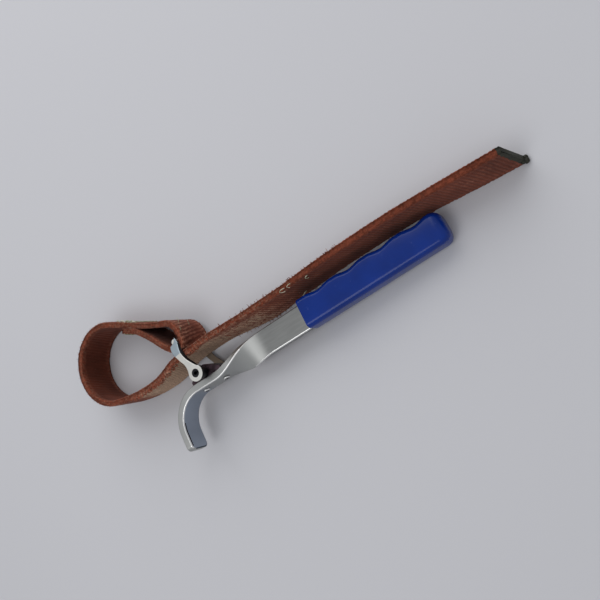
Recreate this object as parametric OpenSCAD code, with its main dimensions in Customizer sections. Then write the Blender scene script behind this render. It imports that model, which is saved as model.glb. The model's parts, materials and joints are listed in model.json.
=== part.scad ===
// Strap wrench: a hooked steel lever with a moulded grip, a shackle that pivots
// on the lever, and a woven strap whose sewn eye rides on the shackle's crossbar.
// Plan axes: the work loop is centred on the origin, +X runs towards the grip.
// The strap stands on its edge on the surface z = 0. The lever and the shackle
// are drawn about their own middle plane and then laid down by lay_down().

/* [Strap] */
// Width of the webbing, from edge to edge
strap_w = 30; // [26:0.5:34]
// Thickness of the webbing
strap_t = 4.2; // [3.6:0.1:4.6]
// Inner radius of the round work loop
loop_r = 27.5; // [25:0.5:29]
// Direction in which the upper run leaves the loop, degrees from +X
upper_leave = 60; // [56:1:62]
// Direction at which the lower run leaves the loop, degrees from +X
lower_leave = 255; // [252:1:258]
// How far the folded end of the eye stays clear of a round workpiece
fold_gap = 0.5; // [0.2:0.1:2]
// Length of the sewn stretch of the eye
sewn_len = 13; // [11:0.5:15]
// Reach of the strap past the far end of the grip
tail_past_grip = 53; // [20:1:80]
// Length of the sealed dark end of the strap
seal_len = 2; // [1:0.5:5]

/* [Stitching] */
// Rows of stitches across the sewn stretch
stitch_rows = 3; // [2:1:4]
// Stitches in a row
stitches_per_row = 6; // [4:1:7]
// Length of one stitch
stitch_len = 2.8; // [2:0.1:3.4]
// Width of the sewing thread
thread_w = 0.9; // [0.5:0.1:1.2]
// How far a stitch stands up from the webbing
thread_rise = 0.35; // [0.2:0.05:0.6]

/* [Lever] */
// Width of the forged bar
bar_w = 18; // [16:0.5:20]
// Thickness of the bar
bar_t = 5.4; // [4.6:0.1:6]
// Bevel along the four edges of the bar
bar_bevel = 1.1; // [0.5:0.1:1.5]
// Radius of the middle line of the hooked foot
foot_r = 24.1; // [22:0.5:26]
// Straight length of the foot past its bend
foot_len = 12; // [8:1:16]
// Length of the flat head between the foot and the twist
head_len = 25; // [25:1:30]
// Length over which the bar turns by a quarter
twist_len = 40; // [36:1:52]
// Plain length of the shank between the twist and the grip
shank_len = 32; // [20:1:36]
// Sideways set of the shank against the head
shank_set = 2.6; // [1:0.1:4]

/* [Grip] */
// Length of the moulded grip
grip_len = 107; // [95:1:120]
// Width of the grip across its flats
grip_w = 21; // [20:0.2:22]
// How far the grip reaches past the bar on its gripping side, more than on the other
grip_set = 1.2; // [0.8:0.1:1.6]
// Thickness of the grip
grip_t = 16; // [13:0.5:18]
// Number of finger grooves
groove_count = 4; // [3:1:5]
// Distance between two finger grooves
groove_pitch = 24.5; // [20:0.5:25]
// Depth of a finger groove
groove_depth = 1.6; // [0.8:0.1:2]
// Radius of the rounded far end
grip_end_r = 7; // [4:0.5:8]
// Closed wall at the far end, past the end of the bar
grip_end_wall = 10; // [9:0.5:14]

/* [Shackle] */
// Diameter of the pivot pin
pin_d = 6; // [5:0.25:6.5]
// Bore of the slotted pivot pin
pin_bore = 2.6; // [1.5:0.1:3]
// Width of the pin's slot
pin_slot = 0.8; // [0.5:0.1:1.2]
// Outer diameter of the eye in each cheek
eye_d = 11.6; // [11:0.2:13]
// Thickness of a cheek plate
cheek_t = 2.5; // [2:0.1:3]
// Width of the cheek's neck
neck_w = 6.2; // [5.4:0.1:6.6]
// Distance along X from the pivot to the crossbar, towards the loop
bar_back = 7.3; // [6:0.1:8]
// Distance across from the pivot to the crossbar
bar_up = 27.6; // [27:0.1:28.5]
// Diameter of the crossbar
crossbar_d = 4.4; // [4:0.1:4.8]
// Diameter of the tenon at each end of the crossbar
tenon_d = 3.6; // [3:0.1:3.8]

/* [Lug] */
// Wall of the lug round the pivot pin
lug_wall = 2.5; // [2:0.1:3]
// Gap between the pin and the face of the bar
pin_to_bar = 0.9; // [0.9:0.1:1.4]
// Distance of each rivet from the pivot, along the bar
rivet_reach = 9.5; // [9:0.1:10.5]
// Diameter of the two rivets
rivet_d = 3.2; // [2.6:0.1:3.6]
// Diameter of a rivet's closed head on the hollow side
rivet_head_d = 4.6; // [4:0.1:5]
// Height of a rivet's closed head
rivet_head_h = 0.5; // [0.3:0.1:0.8]
// Thickness of the lug's two feet
lug_foot_t = 2.4; // [2:0.1:3]

/* [Fits] */
// Radial clearance of the pivot pin in the lug and in the spacers
pin_clear = 0.05; // [0.02:0.01:0.1]
// Clearance between the webbing and the cheek plates, each side
strap_clear = 0.8; // [0.7:0.1:1.2]
// End clearance of the spacers on the pin
spacer_clear = 0.1; // [0.05:0.05:0.2]
// Wall of each spacer, thinner than the gap between the pin and the bar
spacer_wall = 0.6; // [0.4:0.05:0.7]
// Gap between the crossbar and the webbing of the eye
eye_clear = 0.15; // [0.1:0.05:0.4]
// Gap between neighbouring runs of webbing
run_clear = 0.4; // [0.3:0.1:0.6]
// Gap between the bar and the grip's pocket
grip_clear = 0.05; // [0.02:0.01:0.1]

/* [Hidden] */
$fn = 64;

steel = "silver";
black_steel = "#202226";
webbing = "#8a4a36";

// ---- Places in plan, all in the lever's own frame ----
pivot = [77, -46.8];
crossbar_at = pivot + [-bar_back, bar_up];
head_y = pivot[1] - pin_d / 2 - pin_to_bar - bar_t / 2;
head_x = 65;
twist_x = head_x + head_len;
shank_x = twist_x + twist_len;
shank_y = head_y + shank_set;
grip_x = shank_x + shank_len;
grip_end = grip_x + grip_len;
bar_end = grip_end - grip_end_wall;

// ---- Heights above and below the middle plane ----
cheek_in = strap_w / 2 + strap_clear;
cheek_out = cheek_in + cheek_t;
// The lower cheek and the far end of the grip both touch the surface.
touch_run = grip_end - grip_end_r - pivot[0];
lay_angle = atan((cheek_out - grip_t / 2) / touch_run);
pivot_z = cheek_out * cos(lay_angle) + eye_d / 2 * sin(lay_angle);
// The webbing is lifted by the lower cheek where it passes the shackle.
strap_lift = pivot_z + bar_back * sin(lay_angle) - strap_w / 2;
// The webbing stands upright, so the leaning crossbar needs this much more room.
crossbar_lean = strap_w / 2 * tan(lay_angle);

module lay_down() {
    translate([pivot[0], pivot[1], pivot_z])
        rotate([0, lay_angle, 0])
            translate([-pivot[0], -pivot[1], 0])
                children();
}

// ---- Plain helpers ----
function smooth(u) = let (c = min(1, max(0, u))) c * c * (3 - 2 * c);
function unit(v) = v / norm(v);
function left_of(v) = [-v[1], v[0]];
function polar(r, a) = [r * cos(a), r * sin(a)];

// A swept solid: every ring has the same number of points, in order.
module sweep(rings) {
    n = len(rings[0]);
    last = len(rings) - 1;
    polyhedron(
        points = [for (ring = rings) for (p = ring) p],
        faces = concat(
            [[for (i = [0 : n - 1]) i]],
            [for (k = [0 : last - 1]) for (i = [0 : n - 1]) for (half = [0, 1])
                let (a = k * n + i, b = a + n, c = (k + 1) * n + (i + 1) % n, d = k * n + (i + 1) % n)
                half == 0 ? [a, b, c] : [a, c, d]],
            [[for (i = [n - 1 : -1 : 0]) last * n + i]]
        ),
        convexity = 6
    );
}

// ---- The lever bar ----
// Section of the bar: across is its thickness, along is its width.
function bar_section(t, w, b) = [
    [t / 2, w / 2 - b], [t / 2 - b, w / 2], [b - t / 2, w / 2], [-t / 2, w / 2 - b],
    [-t / 2, b - w / 2], [b - t / 2, -w / 2], [t / 2 - b, -w / 2], [t / 2, b - w / 2]];

// One ring of the bar at a plan point, facing a plan direction, rolled by an angle.
function bar_ring(at, dir, roll, t = bar_t, w = bar_w, b = bar_bevel) =
    let (side = left_of(dir))
    [for (p = bar_section(t, w, b))
        let (a = p[0] * cos(roll) - p[1] * sin(roll), h = p[0] * sin(roll) + p[1] * cos(roll))
        [at[0] + side[0] * a, at[1] + side[1] * a, h]];

foot_centre = [head_x, head_y - foot_r];
foot_tip_y = foot_centre[1] - foot_len;
foot_x = head_x - foot_r;
bend_steps = 14;
twist_steps = 16;

function twist_at(u) = [head_x + head_len + twist_len * u, head_y + shank_set * smooth(u)];

// The hollow side of the head turns up to become the top of the shank.
lever_rings = concat(
    [bar_ring([foot_x, foot_tip_y], [0, 1], 0, bar_t - 2 * bar_bevel, bar_w - 2 * bar_bevel)],
    [bar_ring([foot_x, foot_tip_y + bar_bevel], [0, 1], 0)],
    [for (k = [0 : bend_steps])
        let (a = 180 - 90 * k / bend_steps)
        bar_ring(foot_centre + polar(foot_r, a), [sin(a), -cos(a)], 0)],
    [for (k = [0 : twist_steps])
        let (u = k / twist_steps)
        bar_ring(twist_at(u), [1, 0], -90 * smooth(u))],
    [bar_ring([bar_end - bar_bevel, shank_y], [1, 0], -90)],
    [bar_ring([bar_end, shank_y], [1, 0], -90, bar_t - 2 * bar_bevel, bar_w - 2 * bar_bevel)]
);

module lever_bar() {
    color(steel)
        lay_down()
            difference() {
                sweep(lever_rings);
                rivet_holes();
            }
}

module rivet_holes() {
    for (side = [-1, 1])
        translate([pivot[0] + side * rivet_reach, head_y - bar_t, 0])
            rotate([-90, 0, 0])
                cylinder(d = rivet_d, h = 3 * bar_t);
}

// ---- The grip ----
groove_first = grip_x + (grip_len - (groove_count - 1) * groove_pitch) / 2;

// How far the gripping side is drawn in at a place along the grip.
function groove_at(x) =
    let (k = max(0, min(groove_count - 1, round((x - groove_first) / groove_pitch))))
    let (u = abs(x - groove_first - k * groove_pitch) / (groove_pitch * 0.42))
    u >= 1 ? 0 : groove_depth * cos(90 * u) * cos(90 * u);

// How far both sides are drawn in by the rounded far end.
function end_in(x) =
    let (u = max(0, x - (grip_end - grip_end_r)))
    grip_end_r - sqrt(max(0, grip_end_r * grip_end_r - u * u));

grip_corners = 20;
grip_square = 0.42;
function softened(v) = sign(v) * pow(abs(v), grip_square);

function grip_ring(x) =
    let (near = end_in(x), w = grip_w - 2 * near * 0.8 - groove_at(x), t = grip_t - 2 * near * 0.75)
    [for (i = [0 : grip_corners - 1])
        let (a = 360 * i / grip_corners + 9)
        [x, shank_y + grip_set - groove_at(x) / 2 + w / 2 * softened(cos(a)), -t / 2 * softened(sin(a))]];

grip_steps = 44;
grip_stops = concat(
    [for (k = [0 : grip_steps]) grip_x + (grip_len - grip_end_r) * k / grip_steps],
    [for (a = [18 : 18 : 72]) grip_end - grip_end_r + grip_end_r * sin(a)],
    [grip_end - 0.05]);

module handle_grip() {
    color("#1840a8")
        lay_down()
            difference() {
                sweep([for (x = grip_stops) grip_ring(x)]);
                translate([grip_x - 1, shank_y - bar_w / 2 - grip_clear, -bar_t / 2 - grip_clear])
                    cube([bar_end - grip_x + 1 + grip_clear, bar_w + 2 * grip_clear, bar_t + 2 * grip_clear]);
            }
}

// ---- The lug that carries the pin, and its rivets ----
bar_face = head_y + bar_t / 2;
lug_h = bar_w - 2 * bar_bevel;
lug_half = rivet_reach + rivet_d / 2 + 2.4;

module lug_outline() {
    difference() {
        hull() {
            translate(pivot)
                circle(r = pin_d / 2 + lug_wall);
            translate([pivot[0] - lug_half, bar_face])
                square([2 * lug_half, lug_foot_t]);
        }
        translate([pivot[0] - lug_half - 1, bar_face - eye_d])
            square([2 * lug_half + 2, eye_d]);
    }
}

module pivot_lug() {
    color("#5c5660")
        lay_down()
            difference() {
                translate([0, 0, -lug_h / 2])
                    linear_extrude(lug_h)
                        lug_outline();
                translate([pivot[0], pivot[1], -lug_h])
                    cylinder(r = pin_d / 2 + pin_clear, h = 2 * lug_h);
                rivet_holes();
            }
}

// A rivet fills its hole and closes in a low head on the hollow side of the bar.
module lug_rivet(side) {
    color(steel)
        lay_down()
            translate([pivot[0] + side * rivet_reach, head_y - bar_t / 2, 0])
                rotate([-90, 0, 0]) {
                    cylinder(d = rivet_d, h = bar_t + lug_foot_t);
                    translate([0, 0, -rivet_head_h])
                        cylinder(d1 = rivet_head_d - rivet_head_h, d2 = rivet_head_d, h = rivet_head_h);
                }
}

module front_rivet() {
    lug_rivet(-1);
}

module rear_rivet() {
    lug_rivet(1);
}

// ---- The pivot pin and its spacers ----
module pivot_pin() {
    color(black_steel)
        lay_down()
            translate([pivot[0], pivot[1], -cheek_out])
                difference() {
                    cylinder(d = pin_d, h = 2 * cheek_out);
                    translate([0, 0, -1])
                        cylinder(d = pin_bore, h = 2 * cheek_out + 2);
                    translate([0, -pin_slot / 2, -1])
                        cube([pin_d, pin_slot, 2 * cheek_out + 2]);
                }
}

module spacer(side) {
    low = lug_h / 2 + spacer_clear;
    high = cheek_in - spacer_clear;
    color(black_steel)
        lay_down()
            translate([pivot[0], pivot[1], side > 0 ? low : -high])
                difference() {
                    cylinder(r = pin_d / 2 + pin_clear + spacer_wall, h = high - low);
                    translate([0, 0, -1])
                        cylinder(r = pin_d / 2 + pin_clear, h = high - low + 2);
                }
}

module upper_spacer() {
    spacer(1);
}

module lower_spacer() {
    spacer(-1);
}

// ---- The shackle ----
// Outline of a cheek: a round eye, a curved neck and a horn that takes the crossbar.
neck_mid = (pivot + crossbar_at) / 2 + [-3, -1.5];
horn_r = 4.2;
horn_tip = crossbar_at + [3.6, 3.4];
neck_steps = 8;

function curve_point(a, b, c, u) = (1 - u) * (1 - u) * a + 2 * u * (1 - u) * b + u * u * c;

function neck_outline() =
    let (spots = [for (k = [0 : neck_steps]) curve_point(pivot, neck_mid, crossbar_at, k / neck_steps)])
    let (sides = [for (k = [0 : neck_steps])
        left_of(unit(spots[min(neck_steps, k + 1)] - spots[max(0, k - 1)])) * neck_w / 2])
    concat(
        [for (k = [0 : neck_steps]) spots[k] - sides[k]],
        [horn_tip],
        [for (k = [neck_steps : -1 : 0]) spots[k] + sides[k]]);

module cheek_plate() {
    linear_extrude(cheek_t)
        polygon(neck_outline());
    translate(pivot)
        cylinder(d = eye_d, h = cheek_t);
    translate(crossbar_at)
        cylinder(r = horn_r, h = cheek_t);
}

module cheek(side) {
    color(steel)
        lay_down()
            difference() {
                translate([0, 0, side > 0 ? cheek_in : -cheek_out])
                    cheek_plate();
                translate([pivot[0], pivot[1], -2 * cheek_out])
                    cylinder(d = pin_d, h = 4 * cheek_out);
                translate([crossbar_at[0], crossbar_at[1], -2 * cheek_out])
                    cylinder(d = tenon_d, h = 4 * cheek_out);
            }
}

module upper_cheek() {
    cheek(1);
}

module lower_cheek() {
    cheek(-1);
}

module crossbar() {
    color(steel)
        lay_down()
            translate([crossbar_at[0], crossbar_at[1], 0]) {
                translate([0, 0, -cheek_in])
                    cylinder(d = crossbar_d, h = 2 * cheek_in);
                translate([0, 0, -cheek_out])
                    cylinder(d = tenon_d, h = 2 * cheek_out);
            }
}

// ---- The strap ----
// Middle line of the webbing in plan, as smooth runs through hand-set points.
loop_mid = loop_r + strap_t / 2;
upper_tangent = polar(loop_mid, upper_leave);
upper_dir = [sin(upper_leave), -cos(upper_leave)];
upper_in = -left_of(upper_dir);
lower_tangent = polar(loop_mid, lower_leave);

// A point on the straight upper run, a distance from the loop and an offset inwards.
function on_upper(along, inwards = 0) = upper_tangent + along * upper_dir + inwards * upper_in;

eye_r = crossbar_d / 2 + crossbar_lean + eye_clear + strap_t / 2;
under_bar = crossbar_at + [0, -eye_r];
// The tail passes under the eye with a small gap between the two runs.
pass_y = under_bar[1] - strap_t - run_clear;

// The two layers of the sewn stretch lie a hair apart.
sewn_offset = strap_t + 0.1;
// The folded end and its stitches stay out of the round that the loop grips.
fold_reach = loop_mid - sewn_offset - strap_t / 2 - thread_rise;
fold_start = sqrt(loop_r * loop_r - fold_reach * fold_reach) + fold_gap;
fold_end = fold_start + sewn_len;

// The eye runs out past the crossbar, round it and back to the upper run.
way_out = [[-7.7, 18.8], [-0.3, 15.6], [3.9, 10.2], [5.2, 3.8]];
way_back = [[-5.3, -2.8], [-9.7, 1.4], [-14.5, 7.4], [-19.7, 14], [-26.5, 21.1]];
eye_points = concat(
    [on_upper(0), on_upper(19), on_upper(38)],
    [for (p = way_out) crossbar_at + p],
    [for (a = [-20, -65, -110]) crossbar_at + polar(eye_r, a)],
    [for (p = way_back) crossbar_at + p],
    [on_upper(fold_end + 2.5, sewn_offset + 0.5), on_upper(fold_end, sewn_offset + 0.05),
        on_upper((fold_start + fold_end) / 2, sewn_offset), on_upper(fold_start, sewn_offset)]);

// The lower run sags a little between the loop and the shackle.
lower_sag = [[8, -2.9], [23, -4.5], [38, -4.3], [51, -2.7], [61, -0.7], [69.7, 0], [76, 0]];
lower_points = concat([lower_tangent], [for (p = lower_sag) [p[0], pass_y + p[1]]]);
// Where the ribbons start, inside the round loop.
upper_root = polar(loop_mid, upper_leave + 3);
lower_root = polar(loop_mid, lower_leave - 3);
tail_cut = 76;
split_gap = 0.3;
tail_length_x = grip_end + tail_past_grip;
// The tail waves a little on its way past the grip.
tail_wave = [[tail_cut + split_gap, 0], [100, -0.2], [130, -1.9], [160, -2.9], [190, -2.4],
    [220, -2.9], [250, -4.1], [280, -6.5], [tail_length_x, -10.1]];
tail_points = [for (p = tail_wave) [p[0], pass_y + p[1]]];

function side_at(p, k) =
    let (last = len(p) - 1)
    left_of(unit(p[min(last, k + 1)] - p[max(0, k - 1)]));

// A ribbon of even thickness along a list of plan points. Its first points are
// a hair thinner, so that it starts inside the run that it carries on from.
join_step = 0.2;
join_points = 3;
function half_thick(k) = (strap_t - (k < join_points ? join_step : 0)) / 2;
module ribbon(p) {
    polygon(concat(
        [for (k = [0 : len(p) - 1]) p[k] - side_at(p, k) * half_thick(k)],
        [for (k = [len(p) - 1 : -1 : 0]) p[k] + side_at(p, k) * half_thick(k)]));
}

// Catmull-Rom points between the set points, so that the runs bend smoothly.
function spline_point(a, b, c, d, u) =
    0.5 * ((2 * b) + (c - a) * u + (2 * a - 5 * b + 4 * c - d) * u * u
        + (3 * b - a - 3 * c + d) * u * u * u);
function spline(p, n) = concat(
    [for (k = [0 : len(p) - 2]) for (j = [0 : n - 1])
        spline_point(p[max(0, k - 1)], p[k], p[k + 1], p[min(len(p) - 1, k + 2)], j / n)],
    [p[len(p) - 1]]);

// Everything between the two edges of the webbing, seen from the side: the
// edges climb over the lower cheek and come down again on both sides.
climb_start = 34;
climb_end = 60;
fall_start = 86;
fall_end = 130;
module edge_band() {
    reach = 500;
    edge = [[-reach, 0], [climb_start, 0], [climb_end, strap_lift], [fall_start, strap_lift],
        [fall_end, 0], [reach, 0]];
    translate([0, reach / 2, 0])
        rotate([90, 0, 0])
            linear_extrude(reach)
                polygon(concat(edge, [for (k = [5 : -1 : 0]) edge[k] + [0, strap_w]]));
}

module webbing_run() {
    intersection() {
        union() {
            for (k = [0 : $children - 1])
                translate([0, 0, -10])
                    linear_extrude(strap_w + 30)
                        children(k);
        }
        edge_band();
    }
}

module strap_loop() {
    color(webbing)
        webbing_run() {
            difference() {
                circle(r = loop_r + strap_t);
                circle(r = loop_r);
                polygon(concat([[0, 0]],
                    [for (a = [lower_leave : (360 + upper_leave - lower_leave) / 6 : 361 + upper_leave])
                        polar(2 * loop_r, a)]));
            }
            ribbon(concat([upper_root], spline(eye_points, 4)));
            ribbon(concat([lower_root], spline(lower_points, 4)));
        }
}

module strap_tail() {
    color(webbing)
        webbing_run()
            difference() {
                ribbon(spline(tail_points, 3));
                translate([tail_length_x - seal_len, -100])
                    square([100, 100]);
            }
}

module strap_end_seal() {
    color("#26302a")
        webbing_run()
            intersection() {
                ribbon(spline(tail_points, 3));
                translate([tail_length_x - seal_len, -100])
                    square([100, 100]);
            }
}

// Stitches lie across the run, on the outside and on the folded end.
module eye_stitching() {
    row_gap = sewn_len / (stitch_rows + 1);
    stitch_gap = strap_w / (stitches_per_row + 1);
    color("#d8d2b8")
        for (row = [1 : stitch_rows])
            for (k = [1 : stitches_per_row])
                for (face = [-strap_t / 2 - thread_rise, sewn_offset + strap_t / 2]) {
                    at = on_upper(fold_start + row * row_gap);
                    translate([at[0], at[1], k * stitch_gap - stitch_len / 2])
                        rotate([0, 0, upper_leave - 90])
                            translate([-thread_w / 2, -face - thread_rise, 0])
                                cube([thread_w, thread_rise, stitch_len]);
                }
}

lever_bar();
handle_grip();
pivot_lug();
front_rivet();
rear_rivet();
pivot_pin();
upper_spacer();
lower_spacer();
upper_cheek();
lower_cheek();
crossbar();
strap_loop();
eye_stitching();
strap_tail();
strap_end_seal();
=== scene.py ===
"""Looks of a strap wrench: worn woven webbing, satin forged steel and a blue moulded grip."""

import json
import math
import random

import bpy
from bpy.props import FloatProperty, FloatVectorProperty, IntProperty, PointerProperty
from mathutils import Matrix, Vector, noise


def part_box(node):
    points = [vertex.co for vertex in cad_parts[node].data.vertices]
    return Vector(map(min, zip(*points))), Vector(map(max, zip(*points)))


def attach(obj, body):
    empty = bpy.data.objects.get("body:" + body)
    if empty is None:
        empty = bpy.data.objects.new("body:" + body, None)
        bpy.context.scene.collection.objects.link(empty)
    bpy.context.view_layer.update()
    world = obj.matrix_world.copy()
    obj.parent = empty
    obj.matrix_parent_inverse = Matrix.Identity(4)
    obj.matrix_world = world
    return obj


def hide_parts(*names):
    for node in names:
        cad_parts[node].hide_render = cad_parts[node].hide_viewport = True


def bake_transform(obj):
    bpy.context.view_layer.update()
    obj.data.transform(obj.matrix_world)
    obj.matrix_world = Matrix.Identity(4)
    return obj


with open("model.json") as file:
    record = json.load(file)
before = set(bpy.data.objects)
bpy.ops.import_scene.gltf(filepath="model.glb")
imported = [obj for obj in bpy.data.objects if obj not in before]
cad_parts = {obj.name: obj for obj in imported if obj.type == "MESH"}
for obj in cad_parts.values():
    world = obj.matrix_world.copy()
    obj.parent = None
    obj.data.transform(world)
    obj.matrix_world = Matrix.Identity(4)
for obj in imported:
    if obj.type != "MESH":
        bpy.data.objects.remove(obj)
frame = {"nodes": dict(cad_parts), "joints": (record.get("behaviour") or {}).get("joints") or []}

bl_info = {
    "name": "Strap Wrench",
    "version": (1, 0, 0),
    "blender": (4, 5, 0),
    "location": "View3D > Sidebar > Strap Wrench",
    "description": "Models the webbing, lever, grip and shackle of a strap wrench",
    "category": "Add Mesh",
}

MM = 0.001
TURN = 2 * math.pi
# Points closer than this are one point.
MERGE = 1e-7

# ---- Places taken from the frame ----
HINGES = {joint["name"]: joint for joint in frame["joints"]}
PIVOT = Vector(HINGES["shackle_pivot"]["pos_m"])
PIVOT_AXIS = Vector(HINGES["shackle_pivot"]["axis"]).normalized()
CROSSBAR = Vector(HINGES["strap_swing"]["pos_m"])
UP = Vector((0, 0, 1))
# The lever and the shackle are drawn about the pivot, flat, and then laid down.
LAY_DOWN = Matrix.Translation(PIVOT) @ UP.rotation_difference(PIVOT_AXIS).to_matrix().to_4x4()
# The same places seen in the lever's own flat frame.
CROSSBAR_FLAT = LAY_DOWN.inverted() @ CROSSBAR
STRAP_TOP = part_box("strap_loop")[1].z
TAIL_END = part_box("strap_end_seal")[1].x
SEAL_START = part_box("strap_tail")[1].x


def linear(code):
    """A colour written as six hexadecimal digits, as Blender's linear red, green, blue and alpha."""
    parts = [int(code[k:k + 2], 16) / 255 for k in (0, 2, 4)]
    return [p / 12.92 if p <= 0.04045 else ((p + 0.055) / 1.055) ** 2.4 for p in parts] + [1.0]


def length(name, description, default, **more):
    return FloatProperty(name=name, description=description, default=default, unit="LENGTH", **more)


def tint(name, description, code):
    return FloatVectorProperty(name=name, description=description, default=linear(code), size=4,
                               subtype="COLOR", min=0, max=1)


# ---- Sizes and colours that a user would change ----
class WebbingSettings(bpy.types.PropertyGroup):
    """The woven strap."""
    width: length("Width", "Width of the webbing", 30 * MM)
    thickness: length("Thickness", "Thickness of the webbing", 4.1 * MM)
    loop_radius: length("Loop radius", "Inner radius of the round work loop", 27.5 * MM)
    rib_pitch: length("Rib pitch", "Distance between two weft ribs along the strap", 2.6 * MM)
    rib_height: length("Rib height", "How far a weft rib stands up", 0.2 * MM)
    rib_lean: FloatProperty(name="Rib lean", description="Sideways lean of the ribs for each unit across",
                            default=0.2)
    cord_pitch: length("Cord pitch", "Distance between two warp cords across the strap", 1.5 * MM)
    selvedge: length("Selvedge", "Width of the denser band along each edge", 4.2 * MM)
    tail_tilt: length("Tail tilt", "How far the foot of the tail stands out from its top", 5.0 * MM)
    red: tint("Red yarn", "Colour of the unworn yarn", "783D2B")
    # The dark yarn colour is painted shade in the gaps between the ribs of the weave.
    dark: tint("Dark yarn", "Colour between the ribs", "36190F")
    tan: tint("Worn yarn", "Colour where use has scuffed the yarn", "CBA98D")
    thread: tint("Sewing thread", "Colour of the stitches", "C6C3AE")
    cut_slant: FloatProperty(name="Cut slant", default=0.2,
                             description="Lean of the free end's cut for each unit across")
    seal: tint("Sealed end", "Colour of the dipped end of the strap", "2A2A22")


class LeverSettings(bpy.types.PropertyGroup):
    """The forged bar and its lug."""
    width: length("Width", "Width of the bar", 18 * MM)
    thickness: length("Thickness", "Thickness of the bar", 5.4 * MM)
    corner: length("Corner", "Rounding along the bar's edges", 0.85 * MM)
    foot_radius: length("Foot radius", "Radius of the middle line of the hooked foot", 24.1 * MM)
    foot_length: length("Foot length", "Straight length of the foot past its bend", 12 * MM)
    head_length: length("Head length", "Flat head between the foot and the twist", 18 * MM)
    twist_length: length("Twist length", "Length over which the bar turns by a quarter", 47 * MM)
    shank_set: length("Shank set", "Sideways set of the shank against the head", 2.6 * MM)
    steel: tint("Steel", "Satin steel of the bar", "ACADAB")
    # The rubbed colour is a painted highlight on the rounded corners that catch the light, and on the rivet
    # heads.
    rubbed: tint("Highlight edge", "Bright steel where the bar's edges are rubbed", "E6E6E4")
    # The lug colour is dark brazed steel, darkened further as painted shade for the shadow of the cheek and
    # the strap above it.
    lug: tint("Lug", "Dark brazed steel of the lug", "42343A")


class GripSettings(bpy.types.PropertyGroup):
    """The moulded grip."""
    width: length("Width", "Width of the grip", 21 * MM)
    side_set: length("Side set", "How far the grip reaches past the bar on its gripping side", 1.2 * MM)
    thickness: length("Thickness", "Thickness of the grip", 16 * MM)
    corner: length("Corner", "Rounding along the grip's edges", 3.4 * MM)
    end_radius: length("End radius", "Radius of the rounded far end", 6.4 * MM)
    groove_depth: length("Groove depth", "Depth of a finger groove", 1.6 * MM)
    groove_pitch: length("Groove pitch", "Distance between two finger grooves", 24.5 * MM)
    grooves: IntProperty(name="Grooves", description="Number of finger grooves", default=4, min=1, max=6)
    vinyl: tint("Vinyl", "Blue of the grip", "00297A")


class ShackleSettings(bpy.types.PropertyGroup):
    """The cheeks and the pivot pin."""
    eye_radius: length("Eye radius", "Outer radius of the eye in a cheek", 5.8 * MM)
    cheek: length("Cheek", "Thickness of a cheek plate", 2.5 * MM)
    inside: length("Inside", "Half the distance between the two cheeks", 15.8 * MM)
    pin_radius: length("Pin radius", "Radius of the pivot pin", 3 * MM)
    crossbar_radius: length("Crossbar radius", "Radius of the bar that the eye of the strap runs round",
                            2.2 * MM)
    pin_bore: length("Pin bore", "Radius of the hole along the pin", 1.3 * MM)
    plate: tint("Plate", "Bright plated steel of the cheeks", "DCDBD5")
    # The horn colour is a painted bluish reflection on the sloping face past the crease.
    horn: tint("Horn", "Bluish plate on the sloping horn", "AFBCC4")
    # The lower cheek's darker plate is painted shade, for the shadow that the webbing casts on it.
    shadowed: tint("Shadowed plate", "Plate that the webbing has stained", "857A6C")
    edge: tint("Sheared edge", "Dark scale on the edges of a cheek", "1B191A")
    # The edge colour is a painted dark reflection on the side walls of the cheeks.
    black: tint("Black steel", "Black oxide of the pin", "15161A")


class StageSettings(bpy.types.PropertyGroup):
    """Camera, lamps and floor."""
    camera_place: FloatVectorProperty(name="Camera", description="Place of the camera",
                                      default=(0.3655, -0.158, 0.406), subtype="TRANSLATION", unit="LENGTH")
    camera_forward: FloatVectorProperty(name="Forward", description="Direction in which the camera looks",
                                        default=(-0.4444, 0.2603, -0.8572), subtype="DIRECTION")
    camera_up: FloatVectorProperty(name="Up", description="Direction that is up for the camera",
                                   default=(0.5055, 0.8629, 0.0), subtype="DIRECTION")
    lens: FloatProperty(name="Lens", description="Focal length in millimetres", default=42, min=10, max=200)
    floor: tint("Floor", "Colour of the floor", "C4C4C8")
    sky: tint("Sky", "Colour of the soft light all round", "F6F8FC")
    sky_strength: FloatProperty(name="Sky strength", description="Strength of the light all round",
                                default=0.53)
    key_power: FloatProperty(name="Key power", description="Power of the large lamp", default=10.5,
                             unit="POWER")


class StrapWrenchSettings(bpy.types.PropertyGroup):
    """All settings of the strap wrench."""
    webbing: PointerProperty(type=WebbingSettings)
    lever: PointerProperty(type=LeverSettings)
    grip: PointerProperty(type=GripSettings)
    shackle: PointerProperty(type=ShackleSettings)
    stage: PointerProperty(type=StageSettings)


# ---- Mesh helpers ----
def deselect():
    if bpy.context.mode != "OBJECT":
        bpy.ops.object.mode_set(mode="OBJECT")
    bpy.ops.object.select_all(action="DESELECT")


def take(piece, name=None):
    """Makes a piece the only selected and active one, and names it."""
    deselect()
    piece.select_set(True)
    bpy.context.view_layer.objects.active = piece
    if name:
        piece.name = name
        piece.data.name = name
    return piece


def primitive(kind, name, **values):
    deselect()
    getattr(bpy.ops.mesh, "primitive_" + kind + "_add")(**values)
    return take(bpy.context.object, name)


def settle(piece):
    """Puts a piece's place into its mesh, so that its object is at the origin."""
    take(piece)
    bpy.ops.object.transform_apply(location=True, rotation=True, scale=True)
    return piece


def apply_modifier(piece, kind, **values):
    take(piece)
    modifier = piece.modifiers.new(kind.title(), kind)
    for key, value in values.items():
        setattr(modifier, key, value)
    bpy.ops.object.modifier_apply(modifier=modifier.name)
    return piece


def cut(piece, tool, operation="DIFFERENCE"):
    apply_modifier(piece, "BOOLEAN", operation=operation, object=tool, solver="EXACT")
    bpy.data.objects.remove(tool)
    return piece


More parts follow.
